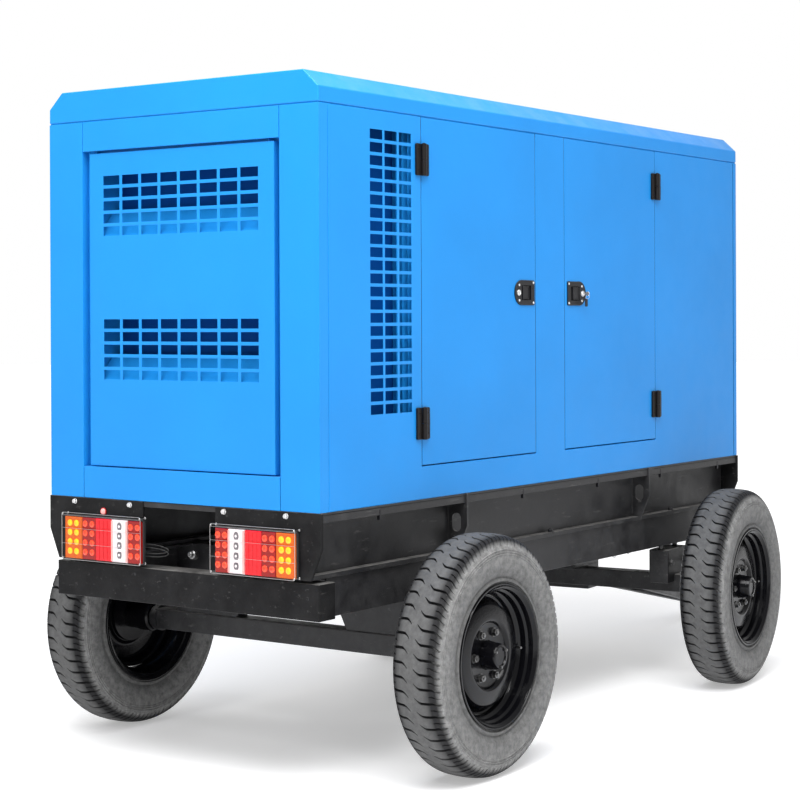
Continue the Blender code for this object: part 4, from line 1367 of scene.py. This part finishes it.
LENS = {"left": (0.139, 0.468), "right": (0.164, 0.470)}  # its edges, off the middle plane
LENS_HEIGHTS = (0.655, 0.788)
LENS_FACE = -0.0205
LENS_GAP = 0.0005
GUARD_HEIGHTS = (0.6525, 0.8015)
GUARD_FACE = -0.0275
GUARD_REACH = {"left": (0.1335, 0.4735), "right": (0.1515, 0.4775)}
GUARD_WIRE = 0.0010
SPOT_ROWS = (0.15, 0.375, 0.60, 0.825)  # down the lens, as shares of its height
LAMP_SECTIONS = (
    # from the inner end outwards: lens, share of the width, spots, where two spots stand across
    ("deep_red_lens", 0.17, "red_spot", (0.24, 0.76)),
    ("clear_lens", 0.21, "smoked_spot", (0.5,)),
    ("red_lens", 0.21, None, ()),
    ("deep_red_lens", 0.18, "red_spot", (0.25, 0.75)),
    ("amber_lens", 0.23, "amber_spot", (0.31, 0.69)),
)


def raised(shape, proud, ys, zs):
    """A small block that stands out of the lens's face."""
    shape.box((LENS_FACE - proud, ys[0], zs[0]), (LENS_FACE + 0.001, ys[1], zs[1]))


def add_spot(shapes, spot, centre):
    """A light's bulging optic; the smoked one is an oval with a clear bead on it."""
    shape = shapes.setdefault(spot, Shape())
    if spot == "smoked_spot":
        shape.dome(0.0105, 0.0026, centre @ Matrix.Diagonal((1, 1.3, 1, 1)), 20, 4)
        bead = centre @ Matrix.Translation((0, 0, 0.0024))
        shapes.setdefault("clear_lens", Shape()).dome(0.0042, 0.0012, bead, 12, 3)
    else:
        # red and amber optics: their lighter colour is partly their own, partly a painted highlight
        shape.dome(0.0108, 0.0048, centre, 20, 5)


def add_window_frame(shapes, glass, side, start, end):
    """What the clear lens carries: a pink border at either side, and blocks between its lights."""
    low, high = LENS_HEIGHTS
    a, b = span(side, start + LENS_GAP, end - LENS_GAP)
    for y in (start + 0.0035, end - 0.0035):
        border = shapes.setdefault("pink_lens", Shape())
        raised(border, 0.0016, span(side, y - 0.003, y + 0.003), (low + 0.003, high - 0.003))
    for share_down in SPOT_ROWS:
        z = high - (share_down + 0.11) * (high - low)
        raised(glass, 0.0022, (a + 0.008, b - 0.008), (z - 0.004, z + 0.004))


def add_ribs(glass, a, b, upright=3, level=8):
    """Fine ribs over a lens without lights."""
    low, high = LENS_HEIGHTS
    for i in range(1, upright + 1):
        y = a + (b - a) * i / (upright + 1)
        raised(glass, 0.0009, (y - 0.0007, y + 0.0007), (low + 0.004, high - 0.004))
    for i in range(1, level + 1):
        z = low + (high - low) * i / (level + 1)
        raised(glass, 0.0009, (a + 0.003, b - 0.003), (z - 0.0006, z + 0.0006))


def make_lamp(hand, side):
    low, high = LENS_HEIGHTS
    inner, outer = LENS[hand]
    base = Shape()
    ys = span(side, inner - 0.004, outer + 0.004)
    base.box((-0.011, ys[0], low - 0.002), (-0.0006, ys[1], high + 0.006))
    base.box((-0.016, ys[0], high + 0.001), (-0.0006, ys[1], high + 0.006))
    flat_piece(
        f"{hand}_lamp_base", base, "plastic", "trailer", 0.002,
        slot="black_plastic", replaces=[f"{hand}_tail_lamp"],
    )
    shapes = {}
    start = inner
    for finish, share, spot, columns in LAMP_SECTIONS:
        end = start + share * (outer - inner)
        glass = shapes.setdefault(finish, Shape())
        a, b = span(side, start + LENS_GAP, end - LENS_GAP)
        loops = []
        for x, inset in ((-0.009, 0.0), (LENS_FACE + 0.003, 0.0), (LENS_FACE, 0.0022)):
            y0, y1, z0, z1 = a + inset, b - inset, low + inset, high - inset
            loops.append([(x, y0, z0), (x, y1, z0), (x, y1, z1), (x, y0, z1)])
        glass.loft(loops)
        for share_down in SPOT_ROWS:
            z = high - share_down * (high - low)
            for across in columns:
                y = side * (start + (end - start) * across)
                add_spot(shapes, spot, toward((LENS_FACE + 0.0006, y, z), BACKWARD))
        if finish == "clear_lens":
            add_window_frame(shapes, glass, side, start, end)
        elif spot is None:
            add_ribs(glass, a, b)
        start = end
    for finish, shape in shapes.items():
        round_piece(f"{hand}_lamp_{finish}", shape, finish, "trailer", 25, slot="lamp_lens")
    make_guard(hand, side)


def make_guard(hand, side):
    """The wire guard: a hoop round the lens with a second wire over it, on four studs."""
    low, high = GUARD_HEIGHTS
    inner, outer = GUARD_REACH[hand]
    guard = Shape()
    corners = rounded((inner, low), (outer, high), 0.006, 4)
    loop = [(GUARD_FACE, side * y, z) for y, z in corners]
    guard.tube([*loop, loop[0]], GUARD_WIRE, sides=10)
    for z in (high - 0.0085, low + 0.34 * (high - low), low + 0.67 * (high - low)):
        level = [(GUARD_FACE, side * inner, z), (GUARD_FACE, side * outer, z)]
        guard.tube(level, GUARD_WIRE * 0.55, sides=8)
    for y in (inner + 0.003, outer - 0.003):
        for z in (low + 0.004, high - 0.004):
            guard.tube([(-0.001, side * y, z), (GUARD_FACE, side * y, z)], GUARD_WIRE, sides=10)
            stud = toward((-0.0008, side * y, z), BACKWARD)
            guard.rod(0.0040, 0, 0.004, stud, 16, 0.0008)
            guard.dome(0.0034, 0.0022, toward((GUARD_FACE - 0.0003, side * y, z), BACKWARD), 14, 4)
    round_piece(f"{hand}_lamp_guard", guard, "steel", "trailer", 60)


def make_lights():
    for hand, side in SIDES:
        make_lamp(hand, side)
    bolts = Shape()
    for y in (0.441, 0.202, -0.184, -0.424):
        bolts.bolt(0.013, toward((0, y, 0.836), BACKWARD), stud=False)
    round_piece("bracket_bolts", bolts, "zinc", "trailer")
    reflector = Shape()
    centre = (0, 0.315, 0.809)
    reflector.dome(0.0100, 0.0045, toward((-0.004, *centre[1:]), BACKWARD), 24, 5)
    round_piece("reflector", reflector, "pink_lens", "trailer", slot="lamp_lens")
    cup = Shape()
    cup.rod(0.0128, 0, 0.0042, toward(centre, BACKWARD), 28, 0.001)
    round_piece("reflector_cup", cup, "deep_red_lens", "trailer", slot="lamp_lens")

    cable = Shape()
    for drop in (0.0, 0.010):
        turns = [math.pi * i / 12 for i in range(13)]
        loop = [(0.135 - 0.075 * math.sin(t), 0.700 - drop + 0.014 * math.cos(t)) for t in turns]
        path = [(0.170, loop[0][1]), *loop, (0.170, loop[-1][1])]
        cable.tube([(0.02, y, z) for y, z in path], 0.0016)
    round_piece("lamp_cable", cable, "rubber", "trailer")
    plug = Shape()
    tilted = toward((0.026, -0.050, 0.692), (-1, 0, 0.2))
    plug.rod(0.013, 0, 0.024, tilted, 24, 0.003)
    plug.rod(0.008, 0, 0.034, tilted, 20, 0.002)
    plug.beam((0.030, -0.052, 0.699), (0.030, -0.052, 0.662), 0.030, 0.006)
    round_piece("trailer_plug", plug, "nut", "trailer")


# --- The generating set -------------------------------------------------------------------

SHAFT_HEIGHT = 1.22
CYLINDERS = tuple(1.205 + 0.168 * i for i in range(4))
HEAD_MIDDLE = 0.079  # forward from where a cylinder's head starts
BELT_PLANE = 1.967
STATOR_RADIUS, STATOR_FINS = 0.216, 18
CABINET_FRONT = 0.464
STOP_AT = (1.08, 0.470, 1.36)


def make_engine():
    """A four-cylinder diesel: block, four heads, sump, bell housing, manifold and pipes."""
    block = Shape()
    block.box((1.185, -0.185, 1.05), (1.885, 0.185, 1.44))
    block.box((1.24, -0.145, 0.935), (1.80, 0.145, 1.06))
    for station in (1.25, 1.72):
        for side in (1, -1):
            ys = span(side, 0.17, 0.30)
            block.box((station, ys[0], 0.93), (station + 0.08, ys[1], 1.05))
            block.box((station - 0.01, ys[0] + 0.01, DECK), (station + 0.09, ys[1] - 0.01, 0.935))
    for station in CYLINDERS:
        block.box((station, -0.128, 1.435), (station + 0.158, 0.128, 1.530))
        block.box((station + 0.012, -0.095, 1.525), (station + 0.146, 0.095, 1.588))
        block.box((station + 0.045, 0.180, 1.10), (station + 0.115, 0.196, 1.40))
    flat_piece(
        "engine_block", block, "engine", "trailer", 0.008, 3, slot="engine_paint", replaces=["engine"]
    )

    covers = Shape()
    bell = [(0, 0), (0.225, 0), (0.232, 0.008), (0.232, 0.030), (0.205, 0.050), (0.190, 0.065)]
    covers.turned([*bell, (0, 0.065)], along("X", (1.145, 0, SHAFT_HEIGHT)), 48)
    damper = [(0, 0), (0.11, 0), (0.11, 0.02), (0.04, 0.03), (0.04, 0.09), (0, 0.09)]
    covers.turned(damper, along("X", (1.885, 0, 1.16)), 40)
    for height, radius in ((1.16, 0.085), (1.38, 0.060)):
        pulley = [(0, 0), (radius, 0), (radius, 0.006), (radius - 0.008, 0.012)]
        pulley += [(radius, 0.018), (radius, 0.024), (0, 0.024)]
        covers.turned(pulley, along("X", (1.955, 0, height)), 36)
    round_piece("engine_covers", covers, "engine", "trailer", slot="engine_paint")

    pipes = Shape()
    for station in CYLINDERS:
        middle = station + HEAD_MIDDLE
        port = [(middle, 0.10, 1.49), (middle, 0.150, 1.49), (middle, 0.185, 1.46)]
        pipes.tube(port, 0.020, sides=14)
    pipes.tube([(1.24, 0.190, 1.452), (1.86, 0.190, 1.452)], 0.030, sides=20)
    pipes.tube([(1.86, 0.190, 1.452), (1.93, 0.19, 1.50), (1.98, 0.19, 1.62)], 0.028, sides=18)
    for station in CYLINDERS:
        middle = station + HEAD_MIDDLE
        injector = [(middle, -0.06, 1.585), (middle, -0.14, 1.560), (1.52, -0.197, 1.330)]
        pipes.tube(injector, 0.0035)
    round_piece("engine_pipes", pipes, "steel", "trailer")

    black = Shape()
    for station in (1.32, 1.42):
        black.rod(0.045, 1.12, 1.26, vertical(station, -0.232), 28, 0.006)
    black.box((1.50, -0.235, 1.26), (1.70, -0.180, 1.35))
    belt = []
    for height, radius, start in ((1.16, 0.088, math.pi), (1.38, 0.063, 0.0)):
        for i in range(11):
            turn = start + math.pi * i / 10
            belt.append((BELT_PLANE, radius * math.cos(turn), height + radius * math.sin(turn)))
    black.tube([*belt, belt[0]], 0.006)
    for y, lowered in ((0.20, 0.0), (-0.20, 1.0)):
        hose = [
            (2.285, y, 1.80 - 0.30 * lowered),
            (2.20, y, 1.80 - 0.30 * lowered),
            (2.06, y * 0.8, 1.66 - 0.25 * lowered),
            (1.88, y * 0.5, 1.50 - 0.15 * lowered),
        ]
        black.tube(hose, 0.022, sides=18)
    round_piece("engine_hoses", black, "rubber", "trailer")

    bolts = Shape()
    for station in CYLINDERS:
        for x in (0.035, 0.123):
            for y in (-0.07, 0.07):
                bolts.bolt(0.013, vertical(station + x, y, 1.588), stud=False)
    for i in range(12):
        y, z = on_circle(0.216, i / 12)
        bolts.bolt(0.013, toward((1.150, y, SHAFT_HEIGHT + z), BACKWARD), stud=False)
    round_piece("engine_bolts", bolts, "zinc", "trailer")


def make_alternator():
    """A finned stator shell with a vented end cover and a terminal box on top."""
    shell = Shape()
    outline = [(0, 0.0), (0.150, 0.0), (0.200, 0.025), (0.215, 0.050), (0.215, 0.120)]
    for i in range(STATOR_FINS):
        start = 0.125 + 0.026 * i
        outline += [(STATOR_RADIUS, start), (STATOR_RADIUS + 0.010, start + 0.003)]
        outline += [(STATOR_RADIUS + 0.010, start + 0.009), (STATOR_RADIUS, start + 0.012)]
    outline += [(0.216, 0.600), (0.228, 0.606), (0.228, 0.675), (0, 0.675)]
    shell.turned(outline, along("X", (0.462, 0, SHAFT_HEIGHT)), 56)
    round_piece(
        "alternator_shell", shell, "alternator", "trailer", slot="alternator_paint",
        replaces=["alternator"],
    )
    feet = Shape()
    for station in (0.58, 0.93):
        for side in (1, -1):
            feet.slab((station, station + 0.06), span(side, 0.10, 0.28), (DECK, DECK + 0.014))
            web = [(0.12, DECK + 0.01), (0.26, DECK + 0.01), (0.17, 1.10), (0.12, 1.06)]
            feet.section([(side * y, z) for y, z in web], station + 0.022, station + 0.038)
    feet.box((0.535, -0.165, 1.415), (0.885, 0.165, 1.60))
    feet.box((0.525, -0.175, 1.595), (0.895, 0.175, 1.612))
    flat_piece("alternator_box", feet, "alternator", "trailer", 0.004, 3, slot="alternator_paint")
    vents = Shape()
    for i in range(9):
        height = SHAFT_HEIGHT - 0.088 + 0.022 * i
        half = math.sqrt(0.125**2 - (height - SHAFT_HEIGHT) ** 2)
        vents.box((0.458, -half, height - 0.005), (0.466, half, height + 0.005))
    flat_piece("alternator_grille", vents, "plastic", "trailer", 0.001)


def make_radiator():
    core, fins = Shape(), Shape()
    for side in (1, -1):
        core.slab((2.28, 2.38), span(side, 0.385, 0.42), (DECK, 1.90))
    core.box((2.285, -0.40, 1.80), (2.375, 0.40, 1.915))
    core.box((2.285, -0.40, 0.86), (2.375, 0.40, 0.96))
    flat_piece(
        "radiator_tanks", core, "plastic", "trailer", 0.004, 3,
        slot="radiator_aluminium", replaces=["radiator"],
    )
    for i in range(42):
        height = 0.966 + 0.020 * i
        fins.box((2.300, -0.386, height), (2.360, 0.386, height + 0.002))
    for i in range(26):
        y = -0.375 + 0.030 * i
        fins.box((2.310, y - 0.0025, 0.955), (2.350, y + 0.0025, 1.805))
    flat_piece("radiator_core", fins, "aluminium", "trailer", 0.0004, 1, slot="radiator_aluminium")
    shroud = Shape()
    centre = (2.14, 0, 1.38)
    corners = [Vector(p) for p in ((-0.36, -0.36), (0.36, -0.36), (0.36, 0.36), (-0.36, 0.36))]
    ring = [Vector(on_circle(1.0, (i + 0.5) / 48)) for i in range(48)]
    square = outline_rays(corners, Vector((0, 0)), ring)
    loops = []
    for points, depth, reach in ((square, 0.145, 1.0), (square, 0.020, 1.0), (ring, 0.005, 0.330),
                                 (ring, 0.0, 0.325), (ring, 0.050, 0.325)):
        loops.append([(depth, p.x * reach, p.y * reach) for p in points])
    shroud.loft(loops, Matrix.Translation(centre), ends=False)
    thing = round_piece("fan_shroud", shroud, "plastic", "trailer", slot="black_plastic")
    thing.modifiers.new("wall", "SOLIDIFY").thickness = 0.004


BLADE_SECTION = ((-1, 0.0), (-0.4, 0.0032), (0.4, 0.0032), (1, 0.0), (0.4, -0.0012), (-0.4, -0.0012))


def make_fan():
    """Six twisted blades on a hub; the axis is the joint's."""
    centre = Matrix.Translation(Vector(JOINTS["fan_spin"]["pos_m"]) - Vector((REAR, 0, 0)))
    fan = Shape()
    hub = [(0, -0.10), (0.028, -0.10), (0.030, -0.02), (0.080, -0.018), (0.088, -0.010)]
    hub += [(0.088, 0.044), (0.080, 0.050), (0, 0.050)]
    fan.turned(hub, centre @ along("X", (0, 0, 0)), 40)
    for number in range(6):
        turn = Matrix.Rotation(math.tau * number / 6, 4, "X")
        loops = []
        for step in range(7):
            reach = 0.075 + 0.222 * step / 6
            width, pitch = 0.040 + 0.026 * step / 6, math.radians(48 - 24 * step / 6)
            loop = []
            for across, thick in BLADE_SECTION:
                camber = 0.010 * (1 - across**2)
                x = across * width * math.sin(pitch) * 0.6 + camber + thick
                loop.append((x, across * width * math.cos(pitch), reach))
            loops.append(loop)
        fan.loft(loops, centre @ turn)
    round_piece(
        "fan_blades", fan, "plastic", "cooling_fan", 40,
        slot="black_plastic", replaces=["cooling_fan"],
    )


def make_air_and_exhaust():
    cleaner = Shape()
    outline = [(0, 0), (0.098, 0), (0.108, 0.010), (0.108, 0.100), (0.110, 0.104), (0.110, 0.116)]
    outline += [(0.104, 0.120), (0.104, 0.330), (0.096, 0.345), (0.060, 0.350), (0.055, 0.412)]
    outline.append((0, 0.412))
    cleaner.turned(outline, along("X", (1.304, 0.27, 1.70)), 44)
    cleaner.tube([(1.47, 0.215, 1.66), (1.47, 0.15, 1.635), (1.47, 0.12, 1.585)], 0.036, sides=22)
    round_piece(
        "air_cleaner_can", cleaner, "plastic", "trailer",
        slot="black_plastic", replaces=["air_cleaner"],
    )
    silencer = Shape()
    outline = [(0, 0), (0.085, 0), (0.104, 0.012), (0.108, 0.020), (0.108, 0.770), (0.104, 0.780)]
    outline += [(0.085, 0.792), (0, 0.792)]
    silencer.turned(outline, along("Y", (2.58, -0.396, 1.80)), 48)
    for y in (-0.28, 0.28):
        strap = [(0.1075, -0.015), (0.1098, -0.014), (0.1098, 0.014), (0.1075, 0.015)]
        silencer.turned(strap, along("Y", (2.58, y, 1.80)), 48)
    silencer.tube([(2.58, 0.10, 1.90), (2.58, 0.10, 2.035)], 0.036, sides=24)
    downpipe = ((2.50, 1.78), (2.40, 1.95), (2.20, 1.95), (2.02, 1.80), (1.98, 1.62))
    silencer.tube([(x, 0.19, z) for x, z in downpipe], 0.028, sides=18)
    round_piece(
        "silencer_shell", silencer, "steel", "trailer",
        slot="bare_steel", replaces=["exhaust_silencer"],
    )
    legs = Shape()
    for side in (1, -1):
        legs.slab((2.555, 2.605), span(side, 0.362, 0.368), (DECK, 1.72))
        legs.slab((2.555, 2.605), span(side, 0.362, 0.400), (DECK, DECK + 0.006))
    flat_piece("silencer_legs", legs, "chassis", "trailer", 0.001)


def make_battery():
    case, metal = Shape(), Shape()
    case.box((1.925, -0.435, DECK), (2.085, -0.205, 1.045))
    case.box((1.921, -0.439, 1.040), (2.089, -0.201, 1.068))
    for i in range(6):
        y = -0.41 + 0.036 * i
        case.rod(0.010, 1.066, 1.072, vertical(1.95, y), 18, 0.001)
        case.box((1.9215, y - 0.010, 0.88), (1.926, y + 0.010, 1.02))
    flat_piece(
        "battery_case", case, "plastic", "trailer", 0.003, 3,
        slot="black_plastic", replaces=["battery"],
    )
    for y in (-0.38, -0.26):
        metal.rod(0.009, 1.066, 1.084, vertical(2.0, y), 20, 0.001)
        metal.bolt(0.012, toward((2.013, y, 1.076), (1, 0, 0)))
    metal.beam((1.93, -0.445, 1.078), (1.93, -0.195, 1.078), 0.018, 0.003)
    round_piece("battery_terminals", metal, "zinc", "trailer")
    leads = Shape()
    for y, end in ((-0.38, (1.80, -0.30, 0.90)), (-0.26, (1.84, -0.20, 1.00))):
        path = [(2.02, y, 1.078), (2.09, y, 1.11), (2.06, y + 0.04, 1.15), (1.90, y + 0.03, 1.08)]
        leads.tube([*path, end], 0.007, sides=12)
    round_piece("battery_leads", leads, "rubber", "trailer")


def make_controls():
    """The control cabinet: door with a screen, meters, lamps, switches, breaker and sockets."""
    cabinet = Shape()
    cabinet.box((0.602, 0.302, 1.282), (1.158, 0.452, 1.918))
    cabinet.box((0.610, 0.450, 1.290), (1.150, 0.4640, 1.910))
    for station in (0.602, 1.118):
        cabinet.box((station, 0.32, DECK), (station + 0.040, 0.36, 1.29))
    flat_piece("control_cabinet", cabinet, "grey", "trailer", 0.002, 2, replaces=["control_panel"])
    dark, glass, metal = Shape(), Shape(), Shape()
    front = CABINET_FRONT
    dark.box((0.66, front, 1.66), (0.86, front + 0.003, 1.86))
    glass.box((0.675, front + 0.003, 1.76), (0.845, front + 0.0042, 1.845))
    for i in range(5):
        button = (0.69 + 0.035 * i, front + 0.002, 1.70)
        metal.rod(0.009, 0, 0.004, along("Y", button), 20, 0.001)
    for i in range(3):
        centre = (0.93 + 0.085 * i, front, 1.81)
        dark.rod(0.034, 0, 0.004, along("Y", centre), 32, 0.001)
        glass.rod(0.029, 0.0035, 0.0050, along("Y", centre), 32, 0.0005)
        dark.rod(0.012, 0, 0.005, along("Y", (centre[0], front, 1.70)), 20, 0.001)
    dark.box((0.66, front, 1.36), (0.80, front + 0.004, 1.60))
    dark.box((0.70, front + 0.003, 1.44), (0.76, front + 0.005, 1.53))
    for x in (0.87, 0.96):
        dark.rod(0.034, 0, 0.004, along("Y", (x, front, 1.44)), 32, 0.002)
        metal.rod(0.004, 0.003, 0.005, along("Y", (x, front, 1.462)), 12)
    flat_piece("control_fittings", dark, "plastic", "trailer", 0.0006, slot="black_plastic")
    flat_piece("control_screens", glass, "screen", "trailer", 0.0003)
    for x in (0.625, 1.135):
        for z in (1.305, 1.895):
            metal.bolt(0.009, along("Y", (x, front, z)), stud=False)
    round_piece("control_buttons", metal, "zinc", "trailer")
    plate = Shape()
    surround = [(0.0125, 0), (0.030, 0), (0.030, 0.0055), (0.0125, 0.0055)]
    plate.turned(surround, along("Y", (STOP_AT[0], front, STOP_AT[2])), 40)
    round_piece("stop_surround", plate, "yellow", "trailer")

    stop = Shape()
    outline = [(0, -0.022), (0.0090, -0.022), (0.0090, 0.008), (0.018, 0.008), (0.0198, 0.0095)]
    outline += [(0.0198, 0.0135), (0.0175, 0.0170), (0.0120, 0.0192), (0, 0.0198)]
    stop.turned(outline, along("Y", STOP_AT), 40)
    round_piece(
        "stop_button", stop, "stop", "emergency_stop", slot="stop_red", replaces=["emergency_stop"]
    )


# --- Turntable and drawbar ----------------------------------------------------------------

HINGE_AHEAD, HINGE_HEIGHT = 0.60, 0.275
EYE_AHEAD, EYE_HEIGHT = 1.70, 0.040
EYE_SPREAD, BARREL_SPREAD = 0.130, 0.082  # the hitch's eyes and the drawbar's, off the middle plane
PIN_BORE = 0.0130
RING_RADIUS, RING_WIRE = 0.0440, 0.0130


def bush(radius, half, edge=0.0025):
    """A short tube round the hinge pin, its rims eased by `edge`."""
    outline = [(PIN_BORE, -half), (radius - edge, -half), (radius, edge - half)]
    return outline + [(radius, half - edge), (radius - edge, half), (PIN_BORE, half)]


def make_turntable():
    ring = Shape()
    centre = Matrix.Translation((TURNTABLE, 0, 0))
    rim = [(0.030, 0.5005), (0.285, 0.5005), (0.300, 0.504), (0.300, 0.524), (0.294, 0.5295)]
    ring.turned([*rim, (0.030, 0.5295)], centre, 72)
    ring.turned([(0, 0.427), (0.026, 0.427), (0.030, 0.432), (0.030, 0.505), (0, 0.505)], centre, 32)
    round_piece(
        "slewing_ring", ring, "steel", "trailer", slot="bare_steel", replaces=["turntable_ring"]
    )
    bolts = Shape()
    for i in range(12):
        bolts.bolt(0.014, toward((*on_circle(0.27, (i + 0.5) / 12), 0.476), DOWNWARD))
    plate = Shape()
    rim = [(0.034, 0.477), (0.285, 0.477), (0.298, 0.480), (0.298, 0.497), (0.294, 0.4995)]
    plate.turned([*rim, (0.034, 0.4995)], sides=72)
    turning = STEERED @ centre
    round_piece("turntable_plate", plate, "chassis", "steering", where=turning, slot="chassis_paint")
    round_piece("turntable_bolts", bolts, "zinc", "steering", where=turning)
    body = Shape()
    body.box((-0.10, -0.10, AXLE_HIGH + 0.0005), (0.14, 0.10, 0.478))
    body.box((0.0355, -0.10, 0.316), (0.14, 0.10, 0.42))
    for side in (1, -1):
        start = (0.10, side * 0.075, 0.350)
        end = (HINGE_AHEAD - 0.02, side * EYE_SPREAD, HINGE_HEIGHT + 0.004)
        body.beam(start, end, 0.040, 0.055)
    flat_piece(
        "turntable_nose", body, "chassis", "steering", 0.003, 3, where=turning,
        slot="chassis_paint", replaces=["turntable_frame"],
    )
    eyes = Shape()
    for side in (1, -1):
        at = along("Y", (HINGE_AHEAD, side * EYE_SPREAD, HINGE_HEIGHT))
        eyes.turned(bush(0.032, 0.020), at, 32)
    round_piece("turntable_eyes", eyes, "chassis", "steering", where=turning, slot="chassis_paint")
    pin = Shape()
    at = along("Y", (HINGE_AHEAD, 0, HINGE_HEIGHT))
    pin.rod(0.0120, -0.164, 0.155, at, 24, 0.002)
    pin.rod(0.0195, 0.1505, 0.1615, at, 6, 0.0015)
    round_piece(
        "hinge_pin", pin, "steel", "steering", where=turning, slot="bare_steel",
        replaces=["drawbar_pin"],
    )


def make_drawbar():
    turning = STEERED @ Matrix.Translation((TURNTABLE, 0, 0))
    root = Vector((HINGE_AHEAD, 0, HINGE_HEIGHT))
    eye = Vector((EYE_AHEAD, 0, EYE_HEIGHT))
    slope = (eye - root).normalized()
    neck = eye - slope * 0.20
    bars, barrels = Shape(), Shape()
    for side in (1, -1):
        offset = Vector((0, side * BARREL_SPREAD, 0))
        bars.beam(root + offset + slope * 0.02, neck + Vector((0, side * 0.022, 0)), 0.040, 0.050)
        barrels.turned(bush(0.028, 0.024), along("Y", root + offset), 32)
    tie = root + slope * 0.30
    bars.beam(tie - Vector((0, 0.068, 0)), tie + Vector((0, 0.068, 0)), 0.060, 0.036)
    bars.beam(neck - slope * 0.05, neck + slope * 0.06, 0.070, 0.050)
    flat_piece(
        "drawbar_beams", bars, "chassis", "drawbar", 0.004, 3, where=turning,
        slot="chassis_paint", replaces=["drawbar"],
    )
    round_piece("drawbar_barrels", barrels, "chassis", "drawbar", where=turning, slot="chassis_paint")
    forged = Shape()
    up = slope.cross(Vector((0, 1, 0)))
    up = up if up.z > 0 else -up
    turns = [math.tau * i / 12 for i in range(12)]
    wire = [(RING_RADIUS + RING_WIRE * math.cos(t), RING_WIRE * math.sin(t)) for t in turns]
    forged.turned(wire, toward(eye, up), 48)
    forged.beam(neck + slope * 0.058, eye - slope * RING_RADIUS, 0.034, 0.026)
    round_piece(
        "tow_ring", forged, "steel", "drawbar", where=turning, slot="bare_steel", replaces=["tow_eye"]
    )
    lock_nut = Shape()
    lock_nut.rod(0.026, 0.0605, 0.080, toward(neck, slope), 6, 0.002)
    round_piece("tow_eye_nut", lock_nut, "zinc", "drawbar", where=turning)


# --- Stage --------------------------------------------------------------------------------

CAMERA_AT = (-4.378, -3.932, 1.416)
CAMERA_YAW, CAMERA_PITCH, CAMERA_ROLL = math.radians(35.34), -0.0034, -0.0042
CAMERA_LENS = 85.61
CAMERA_SHIFT = (0.0035, -0.0935)
FLOOR_HALF = 150
FLOOR_GLOW = (2.0, 7.5, 0.34, 0.66)  # from and to which distance it grows, and the two strengths
SKY = (0.55, 0.93, 0.55, 1.0)  # cosines off the camera's heading, and the tones there
LIGHTS = (
    # name, place, aim, size, watts
    ("key", (-6.5, -2.0, 4.5), (-0.5, 0, 0.8), (0.5, 0.5), 45),
    ("top", (-3.4, -1.6, 5.4), (-0.5, 0, 0), (5.0, 3.5), 530),
    ("glint", (-1.9, -4.4, 3.9), (-1.4, -0.8, 0.4), (0.35, 0.35), 12),
)


def make_camera():
    data = bpy.data.cameras.new("camera")
    data.lens = CAMERA_LENS
    data.sensor_width = 36.0
    data.shift_x, data.shift_y = CAMERA_SHIFT
    data.clip_end = 60
    camera = bpy.data.objects.new("camera", data)
    bpy.context.scene.collection.objects.link(camera)
    ahead = Vector((math.cos(CAMERA_YAW), math.sin(CAMERA_YAW), math.tan(CAMERA_PITCH))).normalized()
    right = ahead.cross(Vector((0, 0, 1))).normalized()
    up = right.cross(ahead)
    c, s = math.cos(CAMERA_ROLL), math.sin(CAMERA_ROLL)
    axes = (right * c + up * s, up * c - right * s, -ahead)
    turn = Matrix([[axis[row] for axis in axes] for row in range(3)]).to_4x4()
    camera.matrix_world = Matrix.Translation(DATUM @ Vector(CAMERA_AT)) @ turn
    bpy.context.scene.camera = camera


def area_light(name, at, aim, size, power):
    data = bpy.data.lights.new(name, "AREA")
    data.shape = "RECTANGLE"
    data.size, data.size_y = size
    data.energy = power
    light = bpy.data.objects.new(name, data)
    bpy.context.scene.collection.objects.link(light)
    light.matrix_world = toward(at, Vector(at) - Vector(aim))


def make_stage():
    floor = Shape()
    corners = ((-1, -1), (1, -1), (1, 1), (-1, 1))
    floor.add([(FLOOR_HALF * x, FLOOR_HALF * y, 0) for x, y in corners], [(0, 1, 2, 3)])
    f = Finish("studio_floor", 0.6, Specular_IOR_Level=0.2)
    f.shader.inputs["Emission Color"].default_value = (1, 1, 1, 1)
    away = f.node("ShaderNodeVectorMath", {0: f.place}, operation="LENGTH").outputs["Value"]
    f.feed(f.shader.inputs["Emission Strength"], f.ramp(away, *FLOOR_GLOW))
    f.finish(f.mix(f.noise(3), (0.83, 0.83, 0.84), (0.86, 0.86, 0.87)))
    FINISHES["floor"] = f.material
    mesh = mesh_of("floor", floor, "floor", None)
    thing = bpy.data.objects.new("floor", mesh)
    bpy.context.scene.collection.objects.link(thing)
    thing.location.z = -0.0005

    scene = bpy.context.scene
    scene.view_settings.view_transform = "Standard"
    world = bpy.data.worlds.new("studio")
    scene.world = world
    world.use_nodes = True
    nodes, links = world.node_tree.nodes, world.node_tree.links
    facing = nodes.new("ShaderNodeVectorMath")
    facing.operation = "DOT_PRODUCT"
    links.new(nodes.new("ShaderNodeTexCoord").outputs["Generated"], facing.inputs[0])
    facing.inputs[1].default_value = (math.cos(CAMERA_YAW), math.sin(CAMERA_YAW), 0.0)
    bright = nodes.new("ShaderNodeMapRange")
    links.new(facing.outputs["Value"], bright.inputs["Value"])
    for socket, value in zip(("From Min", "From Max", "To Min", "To Max"), SKY):
        bright.inputs[socket].default_value = value
    links.new(bright.outputs["Result"], nodes["Background"].inputs["Color"])
    for light in LIGHTS:
        area_light(*light)


make_camera()
make_stage()
make_roof()
make_rear()
make_baffles()
make_front()
make_sides()
make_doors()
make_skid()
make_chassis()
make_tank()
make_rear_axle()
make_front_axle()
make_wheels()
make_lights()
make_engine()
make_alternator()
make_radiator()
make_fan()
make_air_and_exhaust()
make_battery()
make_controls()
make_turntable()
make_drawbar()
